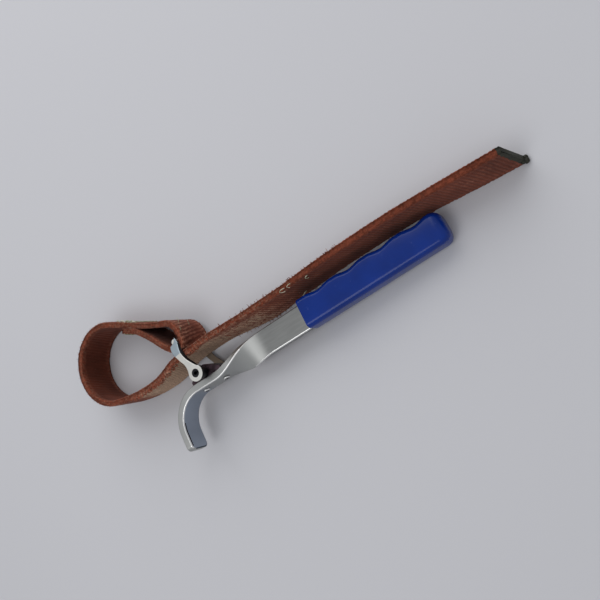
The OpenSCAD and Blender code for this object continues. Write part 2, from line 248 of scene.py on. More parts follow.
def edit_all():
    """Enters edit mode with everything selected."""
    bpy.ops.object.mode_set(mode="EDIT")
    bpy.ops.mesh.select_all(action="SELECT")


def face_outwards():
    """Turns every face outwards and leaves edit mode."""
    bpy.ops.mesh.select_all(action="SELECT")
    bpy.ops.mesh.normals_make_consistent(inside=False)
    bpy.ops.object.mode_set(mode="OBJECT")


def smooth(piece, degrees=35):
    take(piece)
    bpy.ops.object.shade_smooth_by_angle(angle=math.radians(degrees))
    return piece


def crisp(piece, degrees=35):
    """Smooth rounded edges between faces that still shade flat."""
    smooth(piece, degrees)
    return apply_modifier(piece, "WEIGHTED_NORMAL", keep_sharp=True, weight=60)


def round_edges(piece, width, angle=40, segments=3, finish=-1):
    """Rounds the edges that turn by more than an angle; finish is the material slot of the rounding."""
    return apply_modifier(piece, "BEVEL", width=width, segments=segments, limit_method="ANGLE",
                          angle_limit=math.radians(angle), material=finish)


def turn(angle, centre):
    """Rolls what is selected about the X direction through a point."""
    bpy.ops.transform.rotate(value=angle, orient_axis="X", orient_type="GLOBAL", center_override=centre)


def extrude(*step):
    bpy.ops.mesh.extrude_region_move(TRANSFORM_OT_translate={"value": step})


def pick(piece, kind, test):
    """Selects the edges or the faces that pass a test, and stays in edit mode."""
    bpy.ops.object.mode_set(mode="EDIT")
    bpy.ops.mesh.select_mode(type=kind)
    bpy.ops.mesh.select_all(action="DESELECT")
    bpy.ops.object.mode_set(mode="OBJECT")
    for part in piece.data.edges if kind == "EDGE" else piece.data.polygons:
        part.select = test(part)
    bpy.ops.object.mode_set(mode="EDIT")


def loft(name, rings, pattern=None, marks=None):
    """A closed skin over rings of points. A flat grid is added and laid over them, its seam is
    merged and its two ends are filled. pattern gives each ring and point a place in the UV map,
    and marks holds named numbers for each ring and point."""
    along, around = len(rings) - 1, len(rings[0])
    piece = primitive("grid", name, x_subdivisions=along, y_subdivisions=around, size=1)
    mesh = piece.data
    spots = [(round((v.co.x + 0.5) * along), round((v.co.y + 0.5) * around)) for v in mesh.vertices]
    if pattern:
        layer = mesh.uv_layers.active.data
        for corner in mesh.loops:
            layer[corner.index].uv = pattern(*spots[corner.vertex_index])
    for key, value in (marks or {}).items():
        attribute = mesh.attributes.new(key, "FLOAT", "POINT")
        attribute.data.foreach_set("value", [value(i, j % around) for i, j in spots])
    for vertex, (i, j) in zip(mesh.vertices, spots):
        vertex.co = rings[i][j % around]
    edit_all()
    bpy.ops.mesh.remove_doubles(threshold=MERGE)
    bpy.ops.mesh.select_all(action="SELECT")
    bpy.ops.mesh.fill_holes(sides=0)
    face_outwards()
    return piece


def plate(name, outline, low, high):
    """A flat plate: a disc is laid over the outline and extruded upwards."""
    piece = primitive("circle", name, vertices=len(outline), radius=1, fill_type="NGON")
    for vertex, (x, y) in zip(piece.data.vertices, outline):
        vertex.co = (x, y, low)
    edit_all()
    extrude(0, 0, high - low)
    face_outwards()
    return piece


def rod(name, radius, low, high, at=(0, 0), sides=48):
    """An upright cylinder at a plan place."""
    return settle(primitive("cylinder", name, vertices=sides, radius=radius, depth=high - low,
                            location=(at[0], at[1], (low + high) / 2)))


def polar(radius, degrees, centre=(0, 0)):
    angle = math.radians(degrees)
    return Vector((centre[0] + radius * math.cos(angle), centre[1] + radius * math.sin(angle)))


def ease(value):
    value = min(1, max(0, value))
    return value * value * (3 - 2 * value)


def ramp_up(value, start, end):
    return ease((value - start) / (end - start))


def even_path(points, step):
    """Even points on a smooth curve through the given ones, with the length up to each."""
    chord = [0.0]
    for a, b in zip(points, points[1:]):
        chord.append(chord[-1] + (b - a).length)
    last = len(points) - 1
    slopes = []
    for k in range(last + 1):
        a, b = max(0, k - 1), min(last, k + 1)
        slopes.append((points[b] - points[a]) / (chord[b] - chord[a]))
    fine, run = [points[0].copy()], [0.0]
    pieces = 24
    for k in range(last):
        gap = chord[k + 1] - chord[k]
        for j in range(1, pieces + 1):
            u = j / pieces
            spot = (points[k] * (2 * u ** 3 - 3 * u ** 2 + 1) + slopes[k] * gap * (u ** 3 - 2 * u ** 2 + u)
                    + points[k + 1] * (3 * u ** 2 - 2 * u ** 3) + slopes[k + 1] * gap * (u ** 3 - u ** 2))
            run.append(run[-1] + (spot - fine[-1]).length)
            fine.append(spot)
    count = round(run[-1] / step)
    spots, k = [], 0
    for n in range(count + 1):
        target = run[-1] * n / count
        while k < len(run) - 2 and run[k + 1] < target:
            k += 1
        share = (target - run[k]) / (run[k + 1] - run[k])
        spots.append(fine[k].lerp(fine[k + 1], share))
    return spots, run[-1] / count


def side_of(spots, k, reach=2):
    """The direction to the left of a path at one of its points."""
    along = (spots[min(len(spots) - 1, k + reach)] - spots[max(0, k - reach)]).normalized()
    return Vector((-along.y, along.x))


# ---- Materials ----
# A painted bluish reflection on the hollow face of the foot and the head.
REFLECTED_BLUE = linear("A0A9B6")
SHADED_STEEL = linear("3A4552")
RUBBED_VINYL = linear("5C7FC0")
EDGE_FLECK = linear("AE8C76")
FACE_FLECK = linear("C9A68E")
WORN_FIBRE = linear("B98F76")
SOILED_THREAD = linear("8F9473")


class Finish:
    """A node material that is built up socket by socket."""

    def __init__(self, name, roughness=0.5, metallic=0.0, sheen=0.0, specular=0.5):
        self.material = bpy.data.materials.new(name)
        self.material.use_nodes = True
        self.tree = self.material.node_tree
        self.tree.nodes.clear()
        self.shader = self.add("ShaderNodeBsdfPrincipled", Roughness=roughness, Metallic=metallic)
        self.shader.inputs["Sheen Weight"].default_value = sheen
        self.shader.inputs["Specular IOR Level"].default_value = specular
        output = self.tree.nodes.new("ShaderNodeOutputMaterial")
        self.tree.links.new(self.shader.outputs["BSDF"], output.inputs["Surface"])

    def set(self, socket, value):
        if isinstance(value, bpy.types.NodeSocket):
            self.tree.links.new(value, socket)
        else:
            socket.default_value = value

    def add(self, kind, settings=None, **inputs):
        node = self.tree.nodes.new(kind)
        for key, value in (settings or {}).items():
            setattr(node, key, value)
        for key, value in inputs.items():
            self.set(node.inputs[key.replace("_", " ")], value)
        return node

    def math(self, operation, *values):
        node = self.add("ShaderNodeMath", {"operation": operation})
        for socket, value in zip(node.inputs, values):
            self.set(socket, value)
        return node.outputs[0]

    def mix(self, share, a, b):
        node = self.add("ShaderNodeMix", {"data_type": "RGBA", "clamp_factor": True})
        for key, value in (("Factor_Float", share), ("A_Color", a), ("B_Color", b)):
            self.set(next(s for s in node.inputs if s.identifier == key), value)
        return next(s for s in node.outputs if s.identifier == "Result_Color")

    def between(self, value, low, high, to_low=0.0, to_high=1.0):
        node = self.add("ShaderNodeMapRange", {"interpolation_type": "SMOOTHSTEP"}, Value=value,
                        From_Min=low, From_Max=high, To_Min=to_low, To_Max=to_high)
        return node.outputs["Result"]

    def place(self, scale=(1, 1, 1)):
        where = self.add("ShaderNodeTexCoord").outputs["Object"]
        return self.add("ShaderNodeMapping", Vector=where, Scale=scale).outputs["Vector"]

    def noise(self, scale, detail=3.0, vector=None, roughness=0.5):
        node = self.add("ShaderNodeTexNoise", Vector=vector or self.place(), Scale=scale, Detail=detail,
                        Roughness=roughness)
        return node.outputs["Fac"]

    def mark(self, name):
        return self.add("ShaderNodeAttribute", {"attribute_name": name}).outputs["Fac"]

    def mottle(self, value, low, high, colour, dark, bright):
        """A colour that turns from dark times itself to bright times itself, as a value rises."""
        return self.mix(self.between(value, low, high), shade(colour, dark), shade(colour, bright))

    def dim(self, tone, factor):
        """A colour socket made darker or lighter."""
        node = self.add("ShaderNodeVectorMath", {"operation": "SCALE"}, Vector=tone, Scale=factor)
        return node.outputs["Vector"]

    def handle_way(self):
        """How far a point lies along the handle."""
        return self.add("ShaderNodeSeparateXYZ", Vector=self.place()).outputs["X"]

    def wave(self, phase):
        """A wave from 0 to 1 with one crest at each whole number."""
        turned = self.math("COSINE", self.math("MULTIPLY", phase, TURN))
        return self.math("MULTIPLY_ADD", turned, 0.5, 0.5)

    def finish(self, colour, roughness=None, height=None, bump=0.1 * MM, strength=0.6):
        self.set(self.shader.inputs["Base Color"], colour)
        if roughness is not None:
            self.set(self.shader.inputs["Roughness"], roughness)
        if height is not None:
            node = self.add("ShaderNodeBump", Height=height, Distance=bump, Strength=strength)
            self.set(self.shader.inputs["Normal"], node.outputs["Normal"])
        return self.material


def shade(colour, factor):
    return [min(1, c * factor) for c in colour[:3]] + [1.0]


def satin_steel(name, colour, roughness, streak=(60, 900, 900), ground_from=None, reflection_to=None):
    """Blasted and plated steel: cloudy patches, faint streaks along the bar and small scuffs.
    Past ground_from along the bar it has a darker ground finish. Up to a point along the bar, given by its
    last argument, it carries a painted bluish reflection."""
    f = Finish(name, metallic=1.0)
    streaks = f.noise(1.0, 2, f.place(streak))
    clouds = f.noise(55, 4)
    scuffs = f.between(f.noise(210, 5, roughness=0.7), 0.62, 0.72)
    tone = f.mottle(clouds, 0.3, 0.72, colour, 0.93, 1.05)
    tone = f.mix(f.math("MULTIPLY", scuffs, 0.25), tone, shade(colour, 0.7))
    rough = f.between(clouds, 0.25, 0.8, roughness - 0.03, roughness + 0.04)
    if ground_from is not None:
        ground = f.between(f.handle_way(), ground_from, ground_from + 12 * MM)
        tone = f.mix(ground, tone, f.mottle(streaks, 0.3, 0.7, colour, 0.59, 0.65))
        rough = f.math("MULTIPLY", rough, f.between(ground, 0, 1, 1.0, 0.72))
    if reflection_to is not None:
        tone = f.mix(f.between(f.handle_way(), reflection_to - 16 * MM, reflection_to, 1.0, 0.0), tone, REFLECTED_BLUE)
    grain = f.math("MULTIPLY_ADD", f.noise(1900, 2), 0.6, f.math("MULTIPLY", streaks, 0.4))
    return f.finish(tone, rough, grain, 0.03 * MM, 0.18)


def dark_steel(name, colour, roughness=0.45, metallic=0.8):
    f = Finish(name, metallic=metallic)
    patches = f.noise(320, 5)
    tone = f.mottle(patches, 0.35, 0.7, colour, 0.55, 1.5)
    rough = f.between(patches, 0.3, 0.7, roughness - 0.1, roughness + 0.12)
    return f.finish(tone, rough, f.noise(1400, 3), 0.08 * MM, 0.5)


def vinyl(name, colour):
    """Gloss moulded vinyl with a faint orange peel and a few dull rubs."""
    f = Finish(name, specular=0.3)
    clouds = f.noise(38, 3)
    rubs = f.between(f.noise(140, 6, roughness=0.65), 0.58, 0.72)
    tone = f.mottle(clouds, 0.3, 0.7, colour, 0.86, 1.12)
    tone = f.mix(f.math("MULTIPLY", rubs, 0.07), tone, RUBBED_VINYL)
    rough = f.between(rubs, 0.0, 1.0, 0.17, 0.34)
    return f.finish(tone, rough, f.noise(420, 2), 0.05 * MM, 0.3)


# The UV map of the webbing holds centimetres along the strap and across it.
UV_SCALE = 100


def woven(name, webbing):
    """Coarse webbing: leaning weft ribs over warp cords, red yarn that use has scuffed to tan."""
    f = Finish(name, roughness=0.92, sheen=0.06, specular=0.12)
    split = f.add("ShaderNodeSeparateXYZ", Vector=f.add("ShaderNodeUVMap").outputs["UV"])
    along = f.math("MULTIPLY", split.outputs["X"], 1 / UV_SCALE)
    from_middle = f.math("SUBTRACT", split.outputs["Y"], webbing.width / 2 * UV_SCALE)
    across = f.math("MULTIPLY", from_middle, 1 / UV_SCALE)
    leaning = f.math("MULTIPLY_ADD", across, webbing.rib_lean, along)
    wander = f.math("MULTIPLY", f.math("SUBTRACT", f.noise(200, 2), 0.5), 0.7)
    rib = f.wave(f.math("ADD", f.math("DIVIDE", leaning, webbing.rib_pitch), wander))
    cord = f.wave(f.math("ADD", f.math("DIVIDE", across, webbing.cord_pitch), wander))
    fibre = f.noise(1.0, 4, f.place((2300, 2300, 900)), roughness=0.7)
    clouds = f.noise(46, 4)
    flecks = f.noise(430, 4, roughness=0.75)
    wear, edge = f.mark("Wear"), f.mark("Edge")
    # Painted shade for the gaps between the ribs.
    deep = f.mottle(clouds, 0.3, 0.7, webbing.dark, 1.0, 1.6)
    red = f.mottle(clouds, 0.3, 0.72, webbing.red, 0.72, 1.3)
    crest = f.math("MULTIPLY_ADD", rib, 0.62, f.math("MULTIPLY", cord, 0.38))
    # The weave shows less where nothing has rubbed it.
    depth = f.math("ADD", f.between(wear, 0.08, 0.3, 0.58, 0.8), f.between(wear, 0.4, 0.6, 0.0, 0.2))
    crest = f.math("SUBTRACT", 1.0, f.math("MULTIPLY", f.math("SUBTRACT", 1.0, crest), depth))
    # Wear takes the crests first and spreads in flecks, which are few where little has rubbed.
    spread = f.between(wear, 0.05, 0.4, 0.5, 1.5)
    patchy = f.math("MULTIPLY_ADD", f.math("SUBTRACT", flecks, 0.5), spread, wear)
    on_crest = f.between(wear, 0.1, 0.4, 0.3, 0.6)
    patchy = f.math("MULTIPLY_ADD", f.math("SUBTRACT", crest, 0.5), on_crest, patchy)
    scuffed = f.between(patchy, 0.18, 0.8)
    faded = f.mottle(fibre, 0.35, 0.7, webbing.tan, 0.72, 1.35)
    # Worn yarn is darkened in the gaps between the ribs too, as painted shade.
    faded = f.mix(f.between(crest, 0.15, 0.7), shade(webbing.tan, 0.42), faded)
    # Yarn that is only a little scuffed turns orange before it fades.
    faded = f.mix(f.between(wear, 0.12, 0.4), shade(webbing.red, 2.1), faded)
    # The red shows on the crests, with the painted gap shade between them.
    tone = f.mix(f.between(crest, 0.05, 0.62), deep, red)
    # Painted shade: yarn is darkened where little has rubbed, most on the inner face of the loop.
    tone = f.dim(tone, f.between(wear, 0.05, 0.4, 0.66, 0.95))
    rim = f.mottle(flecks, 0.4, 0.6, webbing.red, 0.58, 1.5)
    rim_fleck = f.between(f.noise(620, 3, roughness=0.7), 0.48, 0.6)
    rim = f.mix(f.math("MULTIPLY", rim_fleck, f.mark("Fleck")), rim, EDGE_FLECK)
    tone = f.mix(f.math("MULTIPLY", edge, 0.85), tone, rim)
    tone = f.mix(f.math("MULTIPLY", scuffed, 0.9), tone, faded)
    fleck = f.math("MULTIPLY", f.between(f.noise(700, 2), 0.66, 0.76), f.between(wear, 0.1, 0.6, 0.06, 0.6))
    tone = f.mix(fleck, tone, FACE_FLECK)
    height = f.math("ADD", f.math("MULTIPLY", crest, 0.5), f.math("MULTIPLY", fibre, 0.5))
    return f.finish(tone, None, height, 0.5 * MM, 0.8)


def frayed_yarn(name, webbing, bright=1.3):
    """Loose fibres: mostly red, tan where they are worn."""
    f = Finish(name, roughness=0.9, sheen=0.05, specular=0.12)
    worn = f.between(f.noise(260, 3, roughness=0.7), 0.42, 0.62)
    tone = f.mix(worn, shade(webbing.red, bright), WORN_FIBRE)
    return f.finish(f.mix(f.between(f.noise(90, 3), 0.35, 0.65), tone, shade(webbing.red, 0.65 * bright)))


def sewing_thread(name, colour):
    f = Finish(name, roughness=0.75, sheen=0.1)
    twist = f.wave(f.noise(700, 1))
    tone = f.mix(f.between(f.noise(330, 3), 0.35, 0.65), SOILED_THREAD, shade(colour, 1.1))
    return f.finish(tone, None, twist, 0.15 * MM, 0.5)


def sealed(name, colour):
    """Melted and dipped webbing: lumpy, half glossy, nearly black."""
    f = Finish(name, specular=0.25)
    lumps = f.noise(480, 5, roughness=0.65)
    tone = f.mottle(lumps, 0.35, 0.68, colour, 0.6, 2.1)
    rough = f.between(lumps, 0.3, 0.7, 0.5, 0.8)
    return f.finish(tone, rough, lumps, 0.4 * MM, 0.8)


def paint(piece, material):
    piece.data.materials.clear()
    piece.data.materials.append(material)
    return piece


# ---- The route of the webbing, in plan ----
# Where the strap leaves the round loop for the eye and for the lower run, in degrees.
UPPER_LEAVE = 60
LOWER_LEAVE = 255
LOOP_GAP = 0.05 * MM
# The folded end of the eye, along the straight run from the loop to the eye and inside it.
FOLD_START = 15.8 * MM
FOLD_END = 28.8 * MM
FOLD_OFFSET = 4.3 * MM
# Radius of the eye's middle line round the crossbar.
EYE_SPREAD = 5.285 * MM
# Where the strap passes the shackle.
PASS_Y = -29.085 * MM
# Around the crossbar, from the loop's side over the far side and back, from the crossbar's place.
WAY_OUT = [(-7.7, 18.8), (-0.3, 15.6), (3.9, 10.2), (5.2, 3.8)]
WAY_BACK = [(-5.3, -2.8), (-9.7, 1.4), (-14.5, 7.4), (-19.7, 14), (-26.5, 21.1)]
LOWER_SAG = [(8, -2.9), (23, -4.5), (38, -4.3), (51, -2.7), (61, -0.7), (69.7, 0), (76, 0)]
TAIL_WAVE = [(88, -0.1), (100, -0.2), (130, -1.9), (160, -2.9), (190, -2.4), (220, -2.9), (250, -4.1),
             (280, -6.5)]
TAIL_TIP_Y = -10.1


def loop_middle(webbing):
    """Radius of the strap's middle line round the work loop."""
    return webbing.loop_radius + webbing.thickness / 2 + LOOP_GAP


def on_upper(webbing, distance, offset=0.0):
    """A place along the straight run from the loop to the eye, offset towards its inside."""
    angle = math.radians(UPPER_LEAVE)
    along = Vector((math.sin(angle), -math.cos(angle)))
    inwards = Vector((along.y, -along.x))
    return polar(loop_middle(webbing), UPPER_LEAVE) + along * distance + inwards * offset


def webbing_route(webbing):
    """The middle line of the strap, from the folded end of the eye to the free end."""
    bar = CROSSBAR.xy
    fold = ((FOLD_START, FOLD_OFFSET), ((FOLD_START + FOLD_END) / 2, FOLD_OFFSET),
            (FOLD_END, FOLD_OFFSET + 0.05 * MM), (FOLD_END + 2.5 * MM, FOLD_OFFSET + 0.5 * MM))
    points = [on_upper(webbing, distance, offset) for distance, offset in fold]
    points += [bar + Vector(p) * MM for p in reversed(WAY_BACK)]
    points += [polar(EYE_SPREAD, a, bar) for a in (-110, -65, -20)]
    points += [bar + Vector(p) * MM for p in reversed(WAY_OUT)]
    points += [on_upper(webbing, distance * MM) for distance in (38, 19, 7)]
    arc_steps = 12
    sweep = LOWER_LEAVE - UPPER_LEAVE
    points += [polar(loop_middle(webbing), UPPER_LEAVE + sweep * k / arc_steps)
               for k in range(arc_steps + 1)]
    points += [Vector((x * MM, PASS_Y + y * MM)) for x, y in LOWER_SAG + TAIL_WAVE]
    points.append(Vector((TAIL_END, PASS_Y + TAIL_TIP_Y * MM)))
    # A little more is drawn, because the cut leans past the end at its foot.
    points.append(points[-1] + (points[-1] - points[-2]).normalized() * 5 * MM)
    return points


# The loop and the tail share the strap; this is the stretch between them.
BLEND_START, BLEND_END = (80 * MM, 0, 0), (170 * MM, 0, 0)
# The strap stands on the floor, and the lower cheek lifts it where it passes the shackle.
CLIMB = (34 * MM, 60 * MM)
FALL = (86 * MM, 130 * MM)


def lift(x):
    share = ramp_up(x, *CLIMB) - ramp_up(x, *FALL)
    return (CROSSBAR.z - (STRAP_TOP - CROSSBAR.z)) * share


class Ribbon:
    """The strap's middle line in even steps, and the place of any point of its section along it."""

    def __init__(self, webbing):
        self.webbing = webbing
        self.spots, self.step = even_path(webbing_route(webbing), 0.55 * MM)
        self.sides = [side_of(self.spots, k, 3) for k in range(len(self.spots))]
        self.length = self.step * (len(self.spots) - 1)

    def run_at(self, x):
        """How far along the strap its lower run or tail has reached a place along the handle."""
        k = len(self.spots) - 1
        while self.spots[k].x > x:
            k -= 1
        return k * self.step

    def middle(self, run):
        """The middle line at a run along it, and the direction to its left there."""
        exact = min(max(run / self.step, 0), len(self.spots) - 1.001)
        k = int(exact)
        return [line[k].lerp(line[k + 1], exact - k) for line in (self.spots, self.sides)]

    def place(self, run, out, height):
        """A point at a run along the strap, a distance to its left and a height across it."""
        spot, side = self.middle(run)
        if run > self.length / 2:
            # The tail leans; beside the grip it leans less, so that the two stay apart.
            leaning = ramp_up(spot.x, 80 * MM, 150 * MM)
            past_grip = ramp_up(spot.x, 262 * MM, 316 * MM)
            beside = ramp_up(spot.x, 125 * MM, 165 * MM) - past_grip
            tilt = leaning * (1 - 0.56 * beside) - 0.2 * past_grip
            out += self.webbing.tail_tilt * (0.38 * leaning + tilt * (height / self.webbing.width - 1))
        return Vector((spot.x + side.x * out, spot.y + side.y * out, max(0.0, height + lift(spot.x))))


def webbing_section(webbing):
    """Points round the strap's section: (outwards, height, and which way they face)."""
    half, width = webbing.thickness / 2, webbing.width
    corner = 1.3 * MM
    face_steps, corner_steps = 22, 3
    section = [(-half, corner + (width - 2 * corner) * k / face_steps, -1.0, 0.0)
               for k in range(face_steps + 1)]
    for side, top in ((-1, 1), (1, 1), (1, -1), (-1, -1)):
        if (side, top) == (1, -1):
            section += [(half, width - corner - (width - 2 * corner) * k / face_steps, 1.0, 0.0)
                        for k in range(face_steps + 1)]
        for k in range(1, corner_steps + 1):
            angle = 90 * k / (corner_steps + 1)
            if side != top:
                angle = 90 - angle
            out, up = side * math.cos(math.radians(angle)), top * math.sin(math.radians(angle))
            centre = width - corner if top > 0 else corner
            section.append((side * (half - corner) + corner * out, centre + corner * up, out, up))
    return section


def rib_relief(webbing, run, height, outwards, upwards):
    """How far the weave stands out at a place along and across the strap."""
    phase = (run + (height - webbing.width / 2) * webbing.rib_lean) / webbing.rib_pitch
    rib = 0.5 + 0.5 * math.cos(TURN * phase)
    from_edge = min(height, webbing.width - height)
    seam = math.exp(-((from_edge - webbing.selvedge) / (0.6 * MM)) ** 2)
    lump = noise.noise(Vector((run * 520, height * 520, outwards * 3)))
    on_face = rib - 0.55 * seam + 0.55 * lump
    on_edge = 0.25 * rib + 1.5 * lump
    return webbing.rib_height * (on_face * abs(outwards) + on_edge * abs(upwards))


def wear_at(run, x, height, outwards, ribbon):
    """How far the yarn is scuffed to tan: most on the outside of the lower run."""
    lower = ramp_up(run, ribbon.run_at(5 * MM), ribbon.run_at(30 * MM))
    tail = ramp_up(x, 78 * MM, 105 * MM) * lower
    bight = ramp_up(x, 62 * MM, 70 * MM) * ramp_up(height, 8 * MM, 26 * MM)
    middle = ramp_up(x, 120 * MM, 165 * MM) * lower
    far = ramp_up(x, 205 * MM, 235 * MM) * lower
    outer = lower * (1 - 0.64 * tail - 0.24 * middle + 0.01 * far) + (1 - lower) * (0.15 + 0.05 * bight)
    # The selvedge keeps its red, more so past the shackle.
    band = ramp_up(height, ribbon.webbing.width - (4 + 3 * tail) * MM, ribbon.webbing.width - 2.5 * MM)
    outer *= 1 - 0.75 * band * lower
    blotch = noise.noise(Vector((run * 90, height * 150, 0)))
    return max(0.0, min(1.0, outer * (0.5 - 0.5 * outwards) + 0.05 + (0.22 * outer + 0.04) * blotch))


class StrapWebbing(bpy.types.Operator):
    """Models the strap as one run of webbing, from the folded eye to the free end."""
    bl_idname = "strap_wrench.webbing"
    bl_label = "Webbing"

    def execute(self, context):
        webbing = context.scene.strap_wrench.webbing
        ribbon = Ribbon(webbing)
        section = webbing_section(webbing)
        last = ribbon.run_at(SEAL_START - 0.3 * MM)
        count = round(last / ribbon.step)
        ends = 14 * MM

        def run_of(i, height):
            """The rings lean with the ribs, and with the cut at the free end. The folded end is square."""
            run = last * i / count
            free = ramp_up(run, last - ends, last)
            lean = webbing.rib_lean * min(1.0, run / ends) * (1 - free) + webbing.cut_slant * free
            return max(0.0, run - (height - webbing.width / 2) * lean)

        rings = []
        for i in range(count + 1):
            ring = []
            for out, height, outwards, upwards in section:
                run = run_of(i, height)
                relief = rib_relief(webbing, run, height, outwards, upwards)
                swell = 1 + 0.05 * noise.noise(Vector((run * 45, 0, 0)))
                ring.append(ribbon.place(run, out * swell + relief * outwards, height + relief * upwards))
            rings.append(ring)

        def pattern(i, j):
            height = section[j % len(section)][1]
            return (run_of(i, height) * UV_SCALE, height * UV_SCALE)

        def wear(i, j):
            run = run_of(i, section[j][1])
            return wear_at(run, ribbon.middle(run)[0].x, section[j][1], section[j][2], ribbon)

        def edge(i, j):
            height, upwards = section[j][1], section[j][3]
            from_edge = min(height, webbing.width - height) / webbing.selvedge
            return max(abs(upwards), 0.6 - 0.6 * ramp_up(from_edge, 0.8, 1.1))

        def fleck(i, j):
            """The selvedge is flecked where it has rubbed on the shackle, and plain at the free end."""
            run = run_of(i, section[j][1])
            rubbed = ramp_up(run, ribbon.run_at(5 * MM), ribbon.run_at(40 * MM))
            unused = ramp_up(run, ribbon.run_at(110 * MM), ribbon.run_at(200 * MM))
            return 0.35 + 0.3 * rubbed - 0.6 * unused

        piece = loft("strap_webbing", rings, pattern, {"Wear": wear, "Edge": edge, "Fleck": fleck})
        smooth(piece, 70)
        paint(piece, woven("worn_webbing", webbing))
        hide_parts("strap_loop", "strap_tail")
        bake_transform(piece)
        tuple(BLEND_START)
        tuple(BLEND_END)
        return {"FINISHED"}


class SealedEnd(bpy.types.Operator):
    """Models the dark dipped end of the strap."""
    bl_idname = "strap_wrench.sealed_end"
    bl_label = "Sealed end"

    def execute(self, context):
        webbing = context.scene.strap_wrench.webbing
        ribbon = Ribbon(webbing)
        section = webbing_section(webbing)
        start, end = ribbon.run_at(SEAL_START - 0.6 * MM), ribbon.run_at(TAIL_END)
        steps = 12
        middle = webbing.width / 2
        rings = []
        for i in range(steps + 1):
            share = i / steps
            swell = 1.06 - 0.1 * max(0, i - steps + 2) - 0.05 * max(0, 1 - i)
            ring = []
            for out, height, outwards, upwards in section:
                run = start + (end - start) * share - (height - middle) * webbing.cut_slant
                # The edge of the dip is ragged.
                run += (1 - share) * 1.3 * MM * noise.noise(Vector((height * 420, outwards * 3, 0)))
                lump = 0.3 * MM * noise.noise(Vector((run * 900, height * 600, outwards * 2)))
                height = middle + (height - middle) * (1.0 if i < steps else 0.985)
                ring.append(ribbon.place(run, out * swell + lump * outwards, height + lump * upwards))
            rings.append(ring)
        piece = loft("strap_sealed_end", rings)
        melt = sealed("sealed_end", webbing.seal)
        # Melted yarn has run together into drops at the foot of the cut.
        drops = []
        for along, out, height, size in (
                (0.1, -1.5, 2.0, 1.8), (-1.8, -2.0, 3.4, 1.3), (0.3, 0.6, 1.7, 1.5)):
            at = ribbon.place(end + along * MM + middle * webbing.cut_slant, out * MM, height * MM)
            drop = primitive("uv_sphere", "strap_melted_end", segments=20, ring_count=12, radius=size * MM)
            for vertex in drop.data.vertices:
                lump = 0.22 * noise.noise(vertex.co * 900 + at * 300)
                vertex.co = at + vertex.co * (1 + lump)
            drops.append(drop)
        drop = take(drops[0])
        for other in drops[1:]:
            cut(drop, other, "UNION")
        for part in (piece, drop):
            smooth(part, 50)
            paint(part, melt)
            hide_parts("strap_end_seal")
            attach(part, "tail")
        return {"FINISHED"}


def strands(name, paths, radius):
    """Thin threads through lists of points, each tapering to its tip, as one mesh."""
    curve = bpy.data.curves.new(name, "CURVE")
    curve.dimensions = "3D"
    curve.bevel_depth = 1.0
    curve.bevel_resolution = 0
    curve.use_fill_caps = True
    for path in paths:
        spline = curve.splines.new("POLY")
        spline.points.add(len(path) - 1)
        for k, (point, spot) in enumerate(zip(spline.points, path)):
            point.co = (*spot, 1)
            point.radius = radius * (1 - 0.45 * k / (len(path) - 1))
    piece = bpy.data.objects.new(name, curve)
    bpy.context.scene.collection.objects.link(piece)
    take(piece)
    bpy.ops.object.convert(target="MESH")
    piece = take(bpy.context.object, name)
    edit_all()
    bpy.ops.mesh.remove_doubles(threshold=MERGE)
    face_outwards()
    return smooth(piece, 80)


def bent_thread(draw, root, way, reach, bends=3, stray=0.35):
    """A short thread from a root in a direction, straying a little at each bend."""
    path, way = [root], way.normalized()
    for _ in range(bends):
        way = (way + Vector([draw.uniform(-stray, stray) for _ in range(3)])).normalized()
        if path[-1].z + way.z * reach / bends < 0.15 * MM:
            # The floor bends the thread flat.
            way = Vector((way.x, way.y, 0.1)).normalized()
        path.append(path[-1] + way * (reach / bends))
    return path


